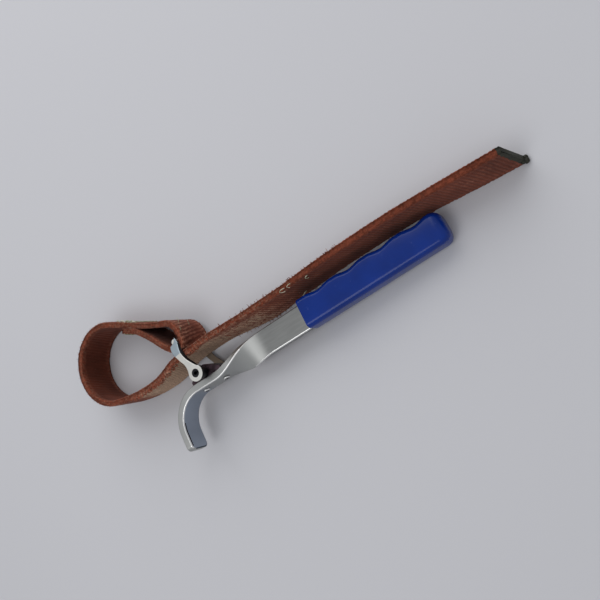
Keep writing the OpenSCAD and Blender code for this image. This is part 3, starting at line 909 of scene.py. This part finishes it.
class StrapFray(bpy.types.Operator):
    """Models the frayed yarn along the strap: tufts at the selvedges, scuffed loops and stray threads."""
    bl_idname = "strap_wrench.fray"
    bl_label = "Frayed yarn"

    def execute(self, context):
        webbing = context.scene.strap_wrench.webbing
        ribbon = Ribbon(webbing)
        draw = random.Random(11)
        half, width = webbing.thickness / 2, webbing.width
        fine, coarse, thick, pale = [], [], [], []

        def root(run, out, height, way):
            """A root on the strap, and a direction given along it, to its left and up."""
            base = ribbon.place(run, out, height)
            ahead = (ribbon.place(run + MM, out, height) - base).normalized()
            side = ribbon.middle(run)[1].to_3d()
            return base, ahead * way[0] + side * way[1] + Vector((0, 0, way[2]))

        def tuft(target, run, out, height, way, reach, count, spread=0.5):
            for _ in range(count):
                turned = [w + draw.uniform(-spread, spread) for w in way]
                base, heading = root(run + draw.uniform(-0.5, 0.5) * MM, out, height, turned)
                target.append(bent_thread(draw, base, heading, reach * draw.uniform(0.6, 1.2)))

        def rooted(start, end, advance):
            """Runs from a start to an end, each past the last by an advance that is asked for anew."""
            run = start
            while run < end:
                yield run
                run += advance()

        def ribs(*counts):
            """An advance of one of these numbers of ribs, drawn each time."""
            return lambda: webbing.rib_pitch * draw.choice(counts)

        # Tufts stand up along the far top edge of the tail, at every rib or so.
        for run in rooted(ribbon.run_at(80 * MM), ribbon.run_at(212 * MM), ribs(0.5, 1, 1, 1.5, 2)):
            tuft(coarse, run, half * 0.8, width - 0.3 * MM, (0.1, 0.5, 1.0), draw.uniform(1.0, 2.3) * MM,
                 draw.choice((1, 2, 3, 4)))
        # Fewer along its foot.
        for run in rooted(ribbon.run_at(98 * MM), ribbon.run_at(175 * MM), ribs(0.5, 1, 1.5)):
            tuft(fine, run, -half * 1.05, 0.8 * MM, (0.2, -1.0, 0.25), draw.uniform(1.0, 2.4) * MM,
                 draw.choice((1, 2, 4)))
        # The selvedge is worn rough where the lower run leaves the loop.
        for run in rooted(ribbon.run_at(10 * MM), ribbon.run_at(84 * MM), lambda: 1.3 * MM):
            tuft(thick, run, -half * draw.uniform(0.6, 1.05), width - draw.uniform(0.0, 1.2) * MM,
                 (0.5, -0.7, 0.2), draw.uniform(1.6, 3.0) * MM, 2, 0.7)
            tuft(thick, run, -half * 1.08, width - draw.uniform(1.5, 4.5) * MM,
                 (0.7, -0.25, -0.7), draw.uniform(1.4, 2.6) * MM, 1, 0.5)
        # Short ends break the outline of the loop and of the eye.
        for run in rooted(60 * MM, ribbon.run_at(12 * MM), ribs(0.5, 1)):
            tuft(fine, run, -half * 0.9, width - 0.4 * MM, (0.2, -1.0, 0.5), draw.uniform(0.5, 1.2) * MM, 2)
            tuft(fine, run, -half * 1.0, draw.uniform(2 * MM, width - 2 * MM), (0.4, -1.0, 0.1),
                 0.7 * MM, 1)
        # Scuffed loops of yarn lie on the near face of the tail.
        for run in rooted(ribbon.run_at(82 * MM), ribbon.run_at(165 * MM),
                          lambda: draw.uniform(0.7, 1.7) * MM):
            tuft(coarse, run, -half * 1.04, draw.uniform(4, 28) * MM,
                 (0.9, -0.12, draw.choice((-0.7, 0.5))), draw.uniform(1.5, 3.2) * MM, 1, 0.25)

        def curl(run, height, size, turns):
            """A curl of thread that stands off the near face; its height and size are in millimetres."""
            path = []
            for k in range(13):
                angle = TURN * turns * k / 12
                path.append(ribbon.place(run + size * MM * 1.6 * math.cos(angle),
                                         -half - 0.35 * MM - 0.12 * MM * k,
                                         (height + size * 1.5 * math.sin(angle)) * MM))
            return path

        # Stray ends of sewing thread: three curls near the tail's top edge, a loose end at its foot,
        # and three more at the outside of the eye.
        curls = ribbon.run_at(164 * MM)
        pale += [curl(curls, 32.5, 1.2, 0.85), curl(curls + 6 * MM, 33, 0.9, 0.7),
                 curl(curls + 17 * MM, 27, 0.7, 0.9)]
        loose = ribbon.run_at(157 * MM)
        pale.append([ribbon.place(loose + k * 1.6 * MM, -half - 0.5 * MM - 0.3 * MM * math.sin(k),
                                  (2.5 + 0.8 * k) * MM) for k in range(7)])
        eye_spots = ribbon.spots[:len(ribbon.spots) // 3]
        bight = eye_spots.index(max(eye_spots, key=lambda spot: spot.x)) * ribbon.step
        for shift, tall in ((5, 27), (9, 14), (12, 22)):
            base, heading = root(bight + shift * MM, -half, tall * MM, (0.5, -1.0, 0.4))
            pale.append(bent_thread(draw, base, heading, 4.2 * MM, 5, 0.5))
        yarn = frayed_yarn("frayed_yarn", webbing)
        worn = frayed_yarn("worn_yarn", webbing, 2.0)
        thread = sewing_thread("loose_thread", webbing.thread)
        for name, paths, radius, material, slot in (
                ("strap_fine_fray", fine, 0.11 * MM, yarn, "webbing"),
                ("strap_coarse_fray", coarse, 0.2 * MM, yarn, "webbing"),
                ("strap_thick_fray", thick, 0.36 * MM, worn, "webbing"),
                ("strap_loose_thread", pale, 0.3 * MM, thread, "thread")):
            piece = strands(name, paths, radius)
            paint(piece, material)
            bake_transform(piece)
            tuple(BLEND_START)
            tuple(BLEND_END)
        return {"FINISHED"}


class EyeStitching(bpy.types.Operator):
    """Models the rows of sewing that close the eye."""
    bl_idname = "strap_wrench.stitching"
    bl_label = "Eye stitching"

    def execute(self, context):
        webbing = context.scene.strap_wrench.webbing
        draw = random.Random(5)
        rows, stitches, row_gap = 3, 7, 3.25 * MM
        # How deep a stitch dives under the face, how far it stands off, and how long its shoulders are.
        sunk, proud, shoulder = 0.2 * MM, 0.45 * MM, 0.5 * MM
        paths = []

        def spot(run, inward, height):
            return Vector((*on_upper(webbing, run, inward), height))

        outside, inside = -webbing.thickness / 2, FOLD_OFFSET + webbing.thickness / 2
        for row in range(rows):
            run = FOLD_START + row_gap * (row + 1)
            for k in range(stitches):
                low = webbing.width * (k + 0.6) / (stitches + 0.2)
                high = low + webbing.width / (stitches + 2)
                for face, away in ((outside, -1), (inside, 1)):
                    under, over = face - sunk * away, face + proud * away
                    paths.append([spot(run, under, low), spot(run, over, low + shoulder),
                                  spot(run, over, high - shoulder), spot(run, under, high)])
        # Thick locking stitches run along the outside, close to the top edge.
        locks, lock_gap = 7, 2.6 * MM
        for k in range(locks):
            run = FOLD_START - 6 * MM + k * lock_gap
            rise = webbing.width - (1.0 + 1.3 * (k % 2)) * MM
            bulge = outside - draw.uniform(0.7, 1.3) * MM
            paths.append([spot(run - 1.2 * MM, outside + sunk, rise - 1.2 * MM), spot(run, bulge, rise),
                          spot(run + 1.6 * MM, bulge - sunk, rise + 0.3 * MM),
                          spot(run + 3.2 * MM, outside + sunk, rise - 0.6 * MM)])
        piece = strands("eye_sewing_thread", paths, 0.42 * MM)
        paint(piece, sewing_thread("sewing_thread", webbing.thread))
        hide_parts("eye_stitching")
        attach(piece, "loop")
        return {"FINISHED"}


# ---- The lever ----
def rounded_section(thickness, width, corner, steps=5):
    """Points round a rounded rectangle: across its thickness and along its width."""
    points = []
    for side_t, side_w, start in ((1, 1, 0), (-1, 1, 90), (-1, -1, 180), (1, -1, 270)):
        for k in range(steps):
            angle = math.radians(start + 90 * k / (steps - 1))
            points.append((side_t * (thickness / 2 - corner) + corner * math.cos(angle),
                           side_w * (width / 2 - corner) + corner * math.sin(angle)))
    return points


# The lever lies along the X direction of its flat frame, and the pin stands at that frame's origin.
HEAD_START = -12 * MM
GRIP_START, GRIP_END = 85 * MM, 192 * MM
BAR_END = GRIP_END - 10 * MM
PIN_GAP = 0.9 * MM
# The lug's half length, the thickness of its foot, its wall round the pin, and how far it stops
# short of each edge of the bar.
LUG_HALF, LUG_FOOT, LUG_WALL, LUG_BACK = 13.5 * MM, 2.4 * MM, 2.5 * MM, 1.1 * MM
RIVET_REACH, RIVET_RADIUS, RIVET_HEAD_RADIUS = 9.5 * MM, 1.6 * MM, 2.5 * MM
# Without a window, a turn in edit mode goes the other way round.
TURN_SIGN = -1
# The lever's material slots.
SATIN, HIGHLIGHT_EDGE, LAP_SHADE, HOLLOW_REFLECTION, SHADED = range(5)


def head_line(settings):
    """How far to the side of the pin the middle of the bar's head runs."""
    return -settings.shackle.pin_radius - PIN_GAP - settings.lever.thickness / 2


class ForgedLever(bpy.types.Operator):
    """Models the forged bar: hooked foot, flat head, quarter twist and shank."""
    bl_idname = "strap_wrench.lever"
    bl_label = "Forged lever"

    def execute(self, context):
        settings = context.scene.strap_wrench
        lever = settings.lever
        head_y = head_line(settings)
        centre = (HEAD_START, head_y - lever.foot_radius, 0)
        foot_x = HEAD_START - lever.foot_radius
        tip_y = centre[1] - lever.foot_length
        twist_x = HEAD_START + lever.head_length
        bend_steps, twist_steps = 40, 48

        def hook(name, at, across, tall, straight, bend):
            """A rectangle drawn out along the foot and then round its bend."""
            part = primitive("plane", name, size=1, location=at, rotation=(math.pi / 2, 0, 0))
            part.scale = (across, tall, 1)
            settle(part)
            edit_all()
            extrude(0, straight, 0)
            bpy.ops.mesh.spin(steps=max(4, round(bend_steps * bend / 90)), angle=math.radians(bend),
                              center=centre, axis=(0, 0, 1))
            return part

        piece = hook("forged_lever", (foot_x, tip_y, 0), lever.thickness, lever.width,
                     lever.foot_length, 90)
        extrude(lever.head_length, 0, 0)
        x, y, roll = twist_x, head_y, 0.0
        for k in range(1, twist_steps + 1):
            share = ease(k / twist_steps)
            next_y, next_roll = head_y + lever.shank_set * share, -math.pi / 2 * share
            x += lever.twist_length / twist_steps
            extrude(lever.twist_length / twist_steps, next_y - y, 0)
            turn(TURN_SIGN * (next_roll - roll), (x, next_y, 0))
            y, roll = next_y, next_roll
        extrude(BAR_END - x, 0, 0)
        face_outwards()

        def at_tip(edge):
            """Whether an edge crosses the bar's thickness at the tip of the foot."""
            a, b = (piece.data.vertices[k].co for k in edge.vertices)
            return max(a.y, b.y) < tip_y + 0.1 * MM and a.z * b.z > 0

        pick(piece, "EDGE", at_tip)
        bpy.ops.mesh.bevel(offset=3.4 * MM, segments=6)
        bpy.ops.object.mode_set(mode="OBJECT")
        for finish in (satin_steel("satin_steel", lever.steel, 0.47, ground_from=116 * MM),
                       # Painted highlight for the roundings that catch the light.
                       satin_steel("highlight_edge", lever.rubbed, 0.3),
                       # Nearly black painted shade for the groove of the lap line.
                       dark_steel("lap_groove_shade", shade(lever.lug, 0.2), 0.6, 0.3),
                       # Painted bluish reflection on the hollow face, fading out along the bar.
                       satin_steel("hollow_reflection_steel", lever.steel, 0.42, reflection_to=76 * MM),
                       dark_steel("shaded_edge", SHADED_STEEL, 0.5, 0.6)):
            piece.data.materials.append(finish)
        # Every rounding starts with the painted highlight; below, those that would not catch the light go
        # back to satin steel, or to the shaded edge where they face down.
        round_edges(piece, lever.corner, 40, 4, finish=HIGHLIGHT_EDGE)
        # A lap line left by the forging runs along the foot, just inside its top corner. Its groove is
        # painted nearly black as shade.
        lap_height = lever.width / 2 - 1.5 * MM
        lap_tip = 2.8 * MM
        lap = hook("lap_line", (foot_x + lever.thickness / 2, tip_y + lap_tip, lap_height),
                   1.8 * MM, 1.15 * MM, lever.foot_length - lap_tip, 20)
        face_outwards()
        cut(piece, lap)

        def rubbed(spot):
            """Whether a rounding gets the painted highlight of a lit corner: the hollow side's top corner
            of the foot and the head, and the near top corner of the shank."""
            if spot.y < tip_y + 1.2 * MM:
                return False
            if spot.x < HEAD_START:
                nearest = Vector((centre[0], min(spot.y, centre[1])))
                return spot.z > 0 and (spot.xy - nearest).length < lever.foot_radius
            share = ease((spot.x - twist_x) / lever.twist_length)
            back = math.pi / 2 * share
            y, z = spot.y - head_y - lever.shank_set * share, spot.z
            across, tall = y * math.cos(back) - z * math.sin(back), y * math.sin(back) + z * math.cos(back)
            return across < 0 and (tall > 0) == (share < 0.6)

        def in_lap(spot):
            """Whether a face lies in the groove of the lap line."""
            return (spot.x > foot_x + lever.thickness / 2 - 1.0 * MM
                    and tip_y + lap_tip - 0.1 * MM < spot.y < centre[1] + 9 * MM
                    and abs(spot.z - lap_height) < 0.6 * MM)

        def on_hollow(face):
            """Whether a face before the twist looks towards the centre of the foot's bend."""
            spot = face.center
            inwards = Vector(centre) - Vector((spot.x, max(spot.y, centre[1]), 0))
            return spot.x < twist_x and face.normal.dot(inwards.normalized()) > 0.7

        for face in piece.data.polygons:
            spot = face.center
            # The lap line's groove takes the painted shade.
            if in_lap(spot):
                face.material_index = LAP_SHADE
            elif face.material_index == HIGHLIGHT_EDGE and not rubbed(spot):
                shaded = spot.z < 0 and spot.x > foot_x and spot.y < centre[1] + 14 * MM
                face.material_index = SHADED if shaded else SATIN
            # Faces on the hollow side take the painted bluish reflection.
            elif face.material_index == SATIN and on_hollow(face):
                face.material_index = HOLLOW_REFLECTION
        piece.data.transform(LAY_DOWN)
        crisp(piece, 32)
        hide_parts("lever_bar")
        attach(piece, "lever")
        return {"FINISHED"}


class PivotLug(bpy.types.Operator):
    """Models the lug that carries the pin, and the two rivets that hold it."""
    bl_idname = "strap_wrench.lug"
    bl_label = "Pivot lug and rivets"

    def execute(self, context):
        settings = context.scene.strap_wrench
        lever = settings.lever
        pin = settings.shackle.pin_radius
        base = -pin - PIN_GAP
        boss, top = pin + LUG_WALL, base + LUG_FOOT
        # The foot's top corners are joined to the round boss by its tangents.
        touch = math.degrees(math.atan2(top, LUG_HALF) + math.acos(boss / math.hypot(LUG_HALF, top)))
        arc_steps = 12
        arc = [polar(boss, touch + (180 - 2 * touch) * k / arc_steps) for k in range(arc_steps + 1)]
        outline = [(-LUG_HALF, base), (LUG_HALF, base), (LUG_HALF, top)] + [tuple(p) for p in arc]
        outline.append((-LUG_HALF, top))
        height = lever.width / 2 - LUG_BACK
        lug = plate("pivot_lug_body", outline, -height, height)
        round_edges(lug, 0.5 * MM)
        cut(lug, rod("lug_bore", pin + 0.05 * MM, -20 * MM, 20 * MM))
        lug.data.transform(LAY_DOWN)
        crisp(lug, 35)
        # Dark brazed steel with painted shade.
        paint(lug, dark_steel("brazed_shaded_steel", lever.lug, 0.42))
        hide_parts("pivot_lug")
        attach(lug, "lever")
        # Bright steel painted on the rivet heads as a highlight, and dark steel painted in their crevice
        # and dimple as shadow.
        bright = satin_steel("rivet_steel", lever.rubbed, 0.34)
        crevice_shadow = dark_steel("rivet_crevice_shadow", shade(lever.lug, 0.3), 0.6, 0.3)
        low = base - lever.thickness
        spread = RIVET_HEAD_RADIUS / RIVET_RADIUS
        for name, node, x in (("front_rivet_head", "front_rivet", -RIVET_REACH),
                              ("rear_rivet_head", "rear_rivet", RIVET_REACH)):
            # The rivet is turned on its side: its axis runs from the hollow side towards the lug.
            rivet = primitive("cylinder", name, vertices=32, radius=RIVET_RADIUS, depth=top - low,
                              location=(x, (low + top) / 2, 0), rotation=(math.pi / 2, 0, 0))
            settle(rivet)
            pick(rivet, "FACE", lambda face: face.normal.y < -0.9)
            # The closed head: a ring round its foot and a low dome with a dimple. The ring and the dimple
            # are painted dark as shadow, and the dome bright as a highlight.
            for rise, scale in ((0.05, spread), (0.25, 1), (0.5, 0.93), (0.4, 0.72), (-0.5, 0.5)):
                extrude(0, -rise * MM, 0)
                bpy.ops.transform.resize(value=(scale, 1, scale))
            bpy.ops.object.mode_set(mode="OBJECT")
            for finish in (bright, crevice_shadow):
                rivet.data.materials.append(finish)
            # The crevice and the dimple take the painted shadow, the rest the painted highlight.
            for face in rivet.data.polygons:
                rise = low - face.center.y
                dimple = rise > 0.4 * MM and math.hypot(face.center.x - x, face.center.z) < 1.3 * MM
                face.material_index = 1 if 0.06 * MM < rise < 0.3 * MM or dimple else 0
            rivet.data.transform(LAY_DOWN)
            smooth(rivet, 50)
            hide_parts(node)
            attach(rivet, "lever")
        return {"FINISHED"}


class MouldedGrip(bpy.types.Operator):
    """Models the blue grip with its finger grooves and its pocket for the bar."""
    bl_idname = "strap_wrench.grip"
    bl_label = "Moulded grip"

    def execute(self, context):
        settings = context.scene.strap_wrench
        grip, lever = settings.grip, settings.lever
        shank_y = head_line(settings) + lever.shank_set
        span = GRIP_END - GRIP_START
        first = GRIP_START + (span - (grip.grooves - 1) * grip.groove_pitch) / 2

        def groove(x):
            k = max(0, min(grip.grooves - 1, round((x - first) / grip.groove_pitch)))
            away = abs(x - first - k * grip.groove_pitch) / (grip.groove_pitch * 0.42)
            return 0.0 if away >= 1 else grip.groove_depth * math.cos(math.pi / 2 * away) ** 2

        lip = 0.8 * MM
        stops = [(GRIP_START, 0.35 * MM), (GRIP_START + 0.3 * MM, 0.1 * MM), (GRIP_START + lip, 0.0)]
        steps = 96
        straight = span - grip.end_radius - lip
        stops += [(GRIP_START + lip + straight * k / steps, 0.0) for k in range(1, steps + 1)]
        for degrees in range(9, 90, 9):
            angle = math.radians(degrees)
            stops.append((GRIP_END - grip.end_radius * (1 - math.sin(angle)),
                          grip.end_radius * (1 - math.cos(angle))))
        stops.append((GRIP_END - 0.02 * MM, grip.end_radius * 0.93))
        rings = []
        for x, inset in stops:
            cutaway = groove(x)
            width = grip.width - 2 * 0.8 * inset - cutaway
            thickness = grip.thickness - 2 * 0.75 * inset
            corner = min(grip.corner, thickness / 2 - 0.2 * MM, width / 2 - 0.2 * MM)
            ring = []
            for a, b in rounded_section(thickness, width, corner, 9):
                ring.append(Vector((x, shank_y + grip.side_set - cutaway / 2 + b, a)))
            rings.append(ring)
        piece = loft("blue_grip", rings)
        # The pocket starts outside the grip, so that it opens there.
        mouth, fit = GRIP_START - MM, 0.05 * MM
        pocket = primitive("cube", "pocket", size=1, location=((mouth + BAR_END) / 2, shank_y, 0),
                           scale=(BAR_END - mouth, lever.width + 2 * fit, lever.thickness + 2 * fit))
        cut(piece, settle(pocket))
        piece.data.transform(LAY_DOWN)
        smooth(piece, 38)
        paint(piece, vinyl("blue_vinyl", grip.vinyl))
        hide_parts("handle_grip")
        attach(piece, "lever")
        return {"FINISHED"}


# ---- The shackle ----
# The cheek's outline past its eye, from the pin in millimetres: up the near side of the neck,
# round the forked horn and back down.
NECK_RIGHT = [(4.3, 3.7), (2.9, 4.6), (-0.2, 8.4), (-3.1, 12.9), (-4.7, 17.4)]
HORN_RIGHT = [(-5.2, 21.6), (-5.0, 25.8), (-5.8, 30.6)]
HORN_LEFT = [(-8.3, 27.1), (-11.4, 26.0), (-11.8, 23.4), (-11.3, 20.4), (-9.8, 17.2)]
NECK_LEFT = [(-7.9, 13.2), (-5.5, 8.6), (-5.0, 4.6), (-5.4, 2.3)]
CREASE_AT, CREASE_FACING = Vector((-7.4, 17.6, 0)) * MM, Vector((-0.12, 1, 0)).normalized()


def cheek_outline(radius):
    """The eye is a round arc, and the neck and the horn follow smooth lines between sharp points."""
    first, last = Vector(NECK_LEFT[-1]), Vector(NECK_RIGHT[0])
    start, end = math.degrees(math.atan2(first.y, first.x)), 360 + math.degrees(math.atan2(last.y, last.x))
    steps = 26
    outline = [polar(radius, start + (end - start) * k / steps) for k in range(steps + 1)]
    runs = [[outline[-1]] + NECK_RIGHT[1:] + HORN_RIGHT, [HORN_RIGHT[-1]] + HORN_LEFT[:2],
            HORN_LEFT[1:] + NECK_LEFT[:-1] + [outline[0]]]
    for run in runs:
        spots, _ = even_path([p if isinstance(p, Vector) else Vector(p) * MM for p in run], 0.9 * MM)
        outline += spots[1:]
    return [tuple(p) for p in outline[:-1]]


def cheek_plate(name, shackle, side, finishes):
    """One cheek: a plate whose horn slopes away past a crease, with the pin's hole through its eye.
    Its finishes are those of its face, of its sheared edges, which carry a painted dark reflection, and of
    its horn, which on the upper cheek carries a painted bluish reflection."""
    low = shackle.inside
    piece = plate(name, cheek_outline(shackle.eye_radius), low, low + shackle.cheek)
    take(piece)
    edit_all()
    bpy.ops.mesh.bisect(plane_co=CREASE_AT, plane_no=CREASE_FACING)
    bpy.ops.object.mode_set(mode="OBJECT")
    slope, flare = 0.16, 1.0 * MM
    for vertex in piece.data.vertices:
        spot = vertex.co
        past = (spot - CREASE_AT).dot(CREASE_FACING)
        if spot.z > low + shackle.cheek / 2 and past > 0:
            spot.z -= slope * past
        # The sheared wall of the neck and the horn leans outwards on the right, at its foot.
        spine = -0.7 * MM - 0.45 * (spot.y - 5 * MM) if spot.y < 20 * MM else -8 * MM
        if spot.z < low + shackle.cheek / 2 and spot.x > spine:
            spot.x += flare * ramp_up(spot.y, 3 * MM, 8 * MM) * (1 - ramp_up(spot.y, 24 * MM, 30 * MM))
    round_edges(piece, 0.3 * MM, 50)
    cut(piece, rod("eye_bore", shackle.pin_radius, 0, 40 * MM))
    if side < 0:
        piece.data.transform(Matrix.Scale(-1, 4, UP))
        take(piece)
        edit_all()
        face_outwards()
    for finish in finishes:
        piece.data.materials.append(finish)
    # Side walls take the painted dark reflection, and faces past the crease take the horn finish.
    for face in piece.data.polygons:
        past = (face.center - CREASE_AT).dot(CREASE_FACING) > 0
        face.material_index = 1 if abs(face.normal.z) < 0.62 else 2 if past else 0
    crisp(piece, 28)
    piece.data.transform(LAY_DOWN)
    return piece


class Shackle(bpy.types.Operator):
    """Models the two cheeks and the slotted pin, and finishes the crossbar and the spacers."""
    bl_idname = "strap_wrench.shackle"
    bl_label = "Shackle"

    def execute(self, context):
        shackle = context.scene.strap_wrench.shackle
        # The plates' streaks run along their necks.
        streak = (500, 90, 500)
        bright = satin_steel("plated_steel", shackle.plate, 0.42, streak)
        # Painted dark reflection for the cheeks' side walls.
        edges = dark_steel("edge_dark_reflection", shackle.edge, 0.5, 0.5)
        # Painted bluish reflection for the upper horn's slope.
        horn = satin_steel("horn_reflection_steel", shackle.horn, 0.3, streak)
        # Painted shade for the lower cheek, under the webbing.
        shadowed = satin_steel("shadowed_steel", shackle.shadowed, 0.4, streak)
        for name, node, side, finishes in (
                ("upper_cheek_plate", "upper_cheek", 1, (bright, edges, horn)),
                ("lower_cheek_plate", "lower_cheek", -1, (shadowed, edges, shadowed))):
            piece = cheek_plate(name, shackle, side, finishes)
            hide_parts(node)
            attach(piece, "shackle")
        reach = shackle.inside + shackle.cheek
        pin = rod("slotted_pin", shackle.pin_radius, -reach, reach, sides=64)
        round_edges(pin, 0.4 * MM, 50)
        cut(pin, rod("pin_bore", shackle.pin_bore, -2 * reach, 2 * reach))
        slot = settle(primitive("cube", "pin_slot", size=1, location=(3 * MM, 0, 0),
                                scale=(6 * MM, 0.8 * MM, 4 * reach)))
        cut(pin, slot)
        pin.data.transform(LAY_DOWN)
        crisp(pin, 35)
        black = dark_steel("black_oxide", shackle.black, 0.36, 0.6)
        paint(pin, black)
        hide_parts("pivot_pin")
        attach(pin, "shackle")
        # The crossbar ends inside the two plates.
        half = shackle.inside + 0.4 * MM
        bar = rod("crossbar_rod", shackle.crossbar_radius, -half, half, CROSSBAR_FLAT.xy, 40)
        bar.data.transform(LAY_DOWN)
        crisp(bar, 40)
        paint(bar, bright)
        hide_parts("crossbar")
        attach(bar, "shackle")
        for node in ("upper_spacer", "lower_spacer"):
            paint(frame["nodes"][node], black)
        return {"FINISHED"}


# ---- The stage ----
LAMP_TARGET = Vector((0.12, -0.03, 0))


class Stage(bpy.types.Operator):
    """Adds the floor, the lamps, the sky and the camera."""
    bl_idname = "strap_wrench.stage"
    bl_label = "Stage"

    def execute(self, context):
        stage = context.scene.strap_wrench.stage
        scene = context.scene
        floor = primitive("plane", "studio_floor", size=6)
        f = Finish("floor_paper", roughness=0.85)
        paint(floor, f.finish(list(stage.floor)))
        world = bpy.data.worlds.new("soft_sky")
        scene.world = world
        world.use_nodes = True
        background = world.node_tree.nodes["Background"]
        background.inputs["Color"].default_value = list(stage.sky)
        background.inputs["Strength"].default_value = stage.sky_strength
        self.lamp("window_lamp", (0.3, 1.0, 0.85), 1.7, stage.key_power)
        self.lamp("overhead_lamp", (-0.14, -0.3, 1.0), 0.6, stage.key_power * 0.19)
        data = bpy.data.cameras.new("camera")
        data.lens = stage.lens
        data.sensor_width = 36
        data.clip_start = 0.01
        camera = bpy.data.objects.new("camera", data)
        scene.collection.objects.link(camera)
        back = -Vector(stage.camera_forward).normalized()
        right = Vector(stage.camera_up).cross(back).normalized()
        up = back.cross(right)
        turn = Matrix((right, up, back)).transposed().to_4x4()
        camera.matrix_world = Matrix.Translation(Vector(stage.camera_place)) @ turn
        scene.camera = camera
        scene.view_settings.view_transform = "Standard"
        return {"FINISHED"}

    def lamp(self, name, place, size, power):
        data = bpy.data.lights.new(name, "AREA")
        data.shape = "DISK"
        data.size = size
        data.energy = power
        lamp = bpy.data.objects.new(name, data)
        bpy.context.scene.collection.objects.link(lamp)
        lamp.location = place
        aim = LAMP_TARGET - Vector(place)
        lamp.rotation_mode = "QUATERNION"
        lamp.rotation_quaternion = aim.to_track_quat("-Z", "Y")


OPERATORS = (StrapWebbing, StrapFray, SealedEnd, EyeStitching, ForgedLever, PivotLug, MouldedGrip,
             Shackle, Stage)


class StrapWrenchPanel(bpy.types.Panel):
    """Lists the pieces of the strap wrench and their settings."""
    bl_idname = "VIEW3D_PT_strap_wrench"
    bl_label = "Strap Wrench"
    bl_space_type = "VIEW_3D"
    bl_region_type = "UI"
    bl_category = "Strap Wrench"

    def draw(self, context):
        settings = context.scene.strap_wrench
        for group in ("webbing", "lever", "grip", "shackle", "stage"):
            box = self.layout.box()
            box.label(text=group.title())
            values = getattr(settings, group)
            for key in values.bl_rna.properties.keys():
                if key not in ("rna_type", "name"):
                    box.prop(values, key)
        for operator in OPERATORS:
            self.layout.operator(operator.bl_idname)


CLASSES = (WebbingSettings, LeverSettings, GripSettings, ShackleSettings, StageSettings,
           StrapWrenchSettings) + OPERATORS + (StrapWrenchPanel,)


def register():
    for item in CLASSES:
        bpy.utils.register_class(item)
    bpy.types.Scene.strap_wrench = PointerProperty(type=StrapWrenchSettings)


def unregister():
    del bpy.types.Scene.strap_wrench
    for item in reversed(CLASSES):
        bpy.utils.unregister_class(item)


def main():
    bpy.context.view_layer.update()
    register()
    for operator in OPERATORS:
        group, name = operator.bl_idname.split(".")
        getattr(getattr(bpy.ops, group), name)()
    deselect()


if __name__ == "__main__":
    main()
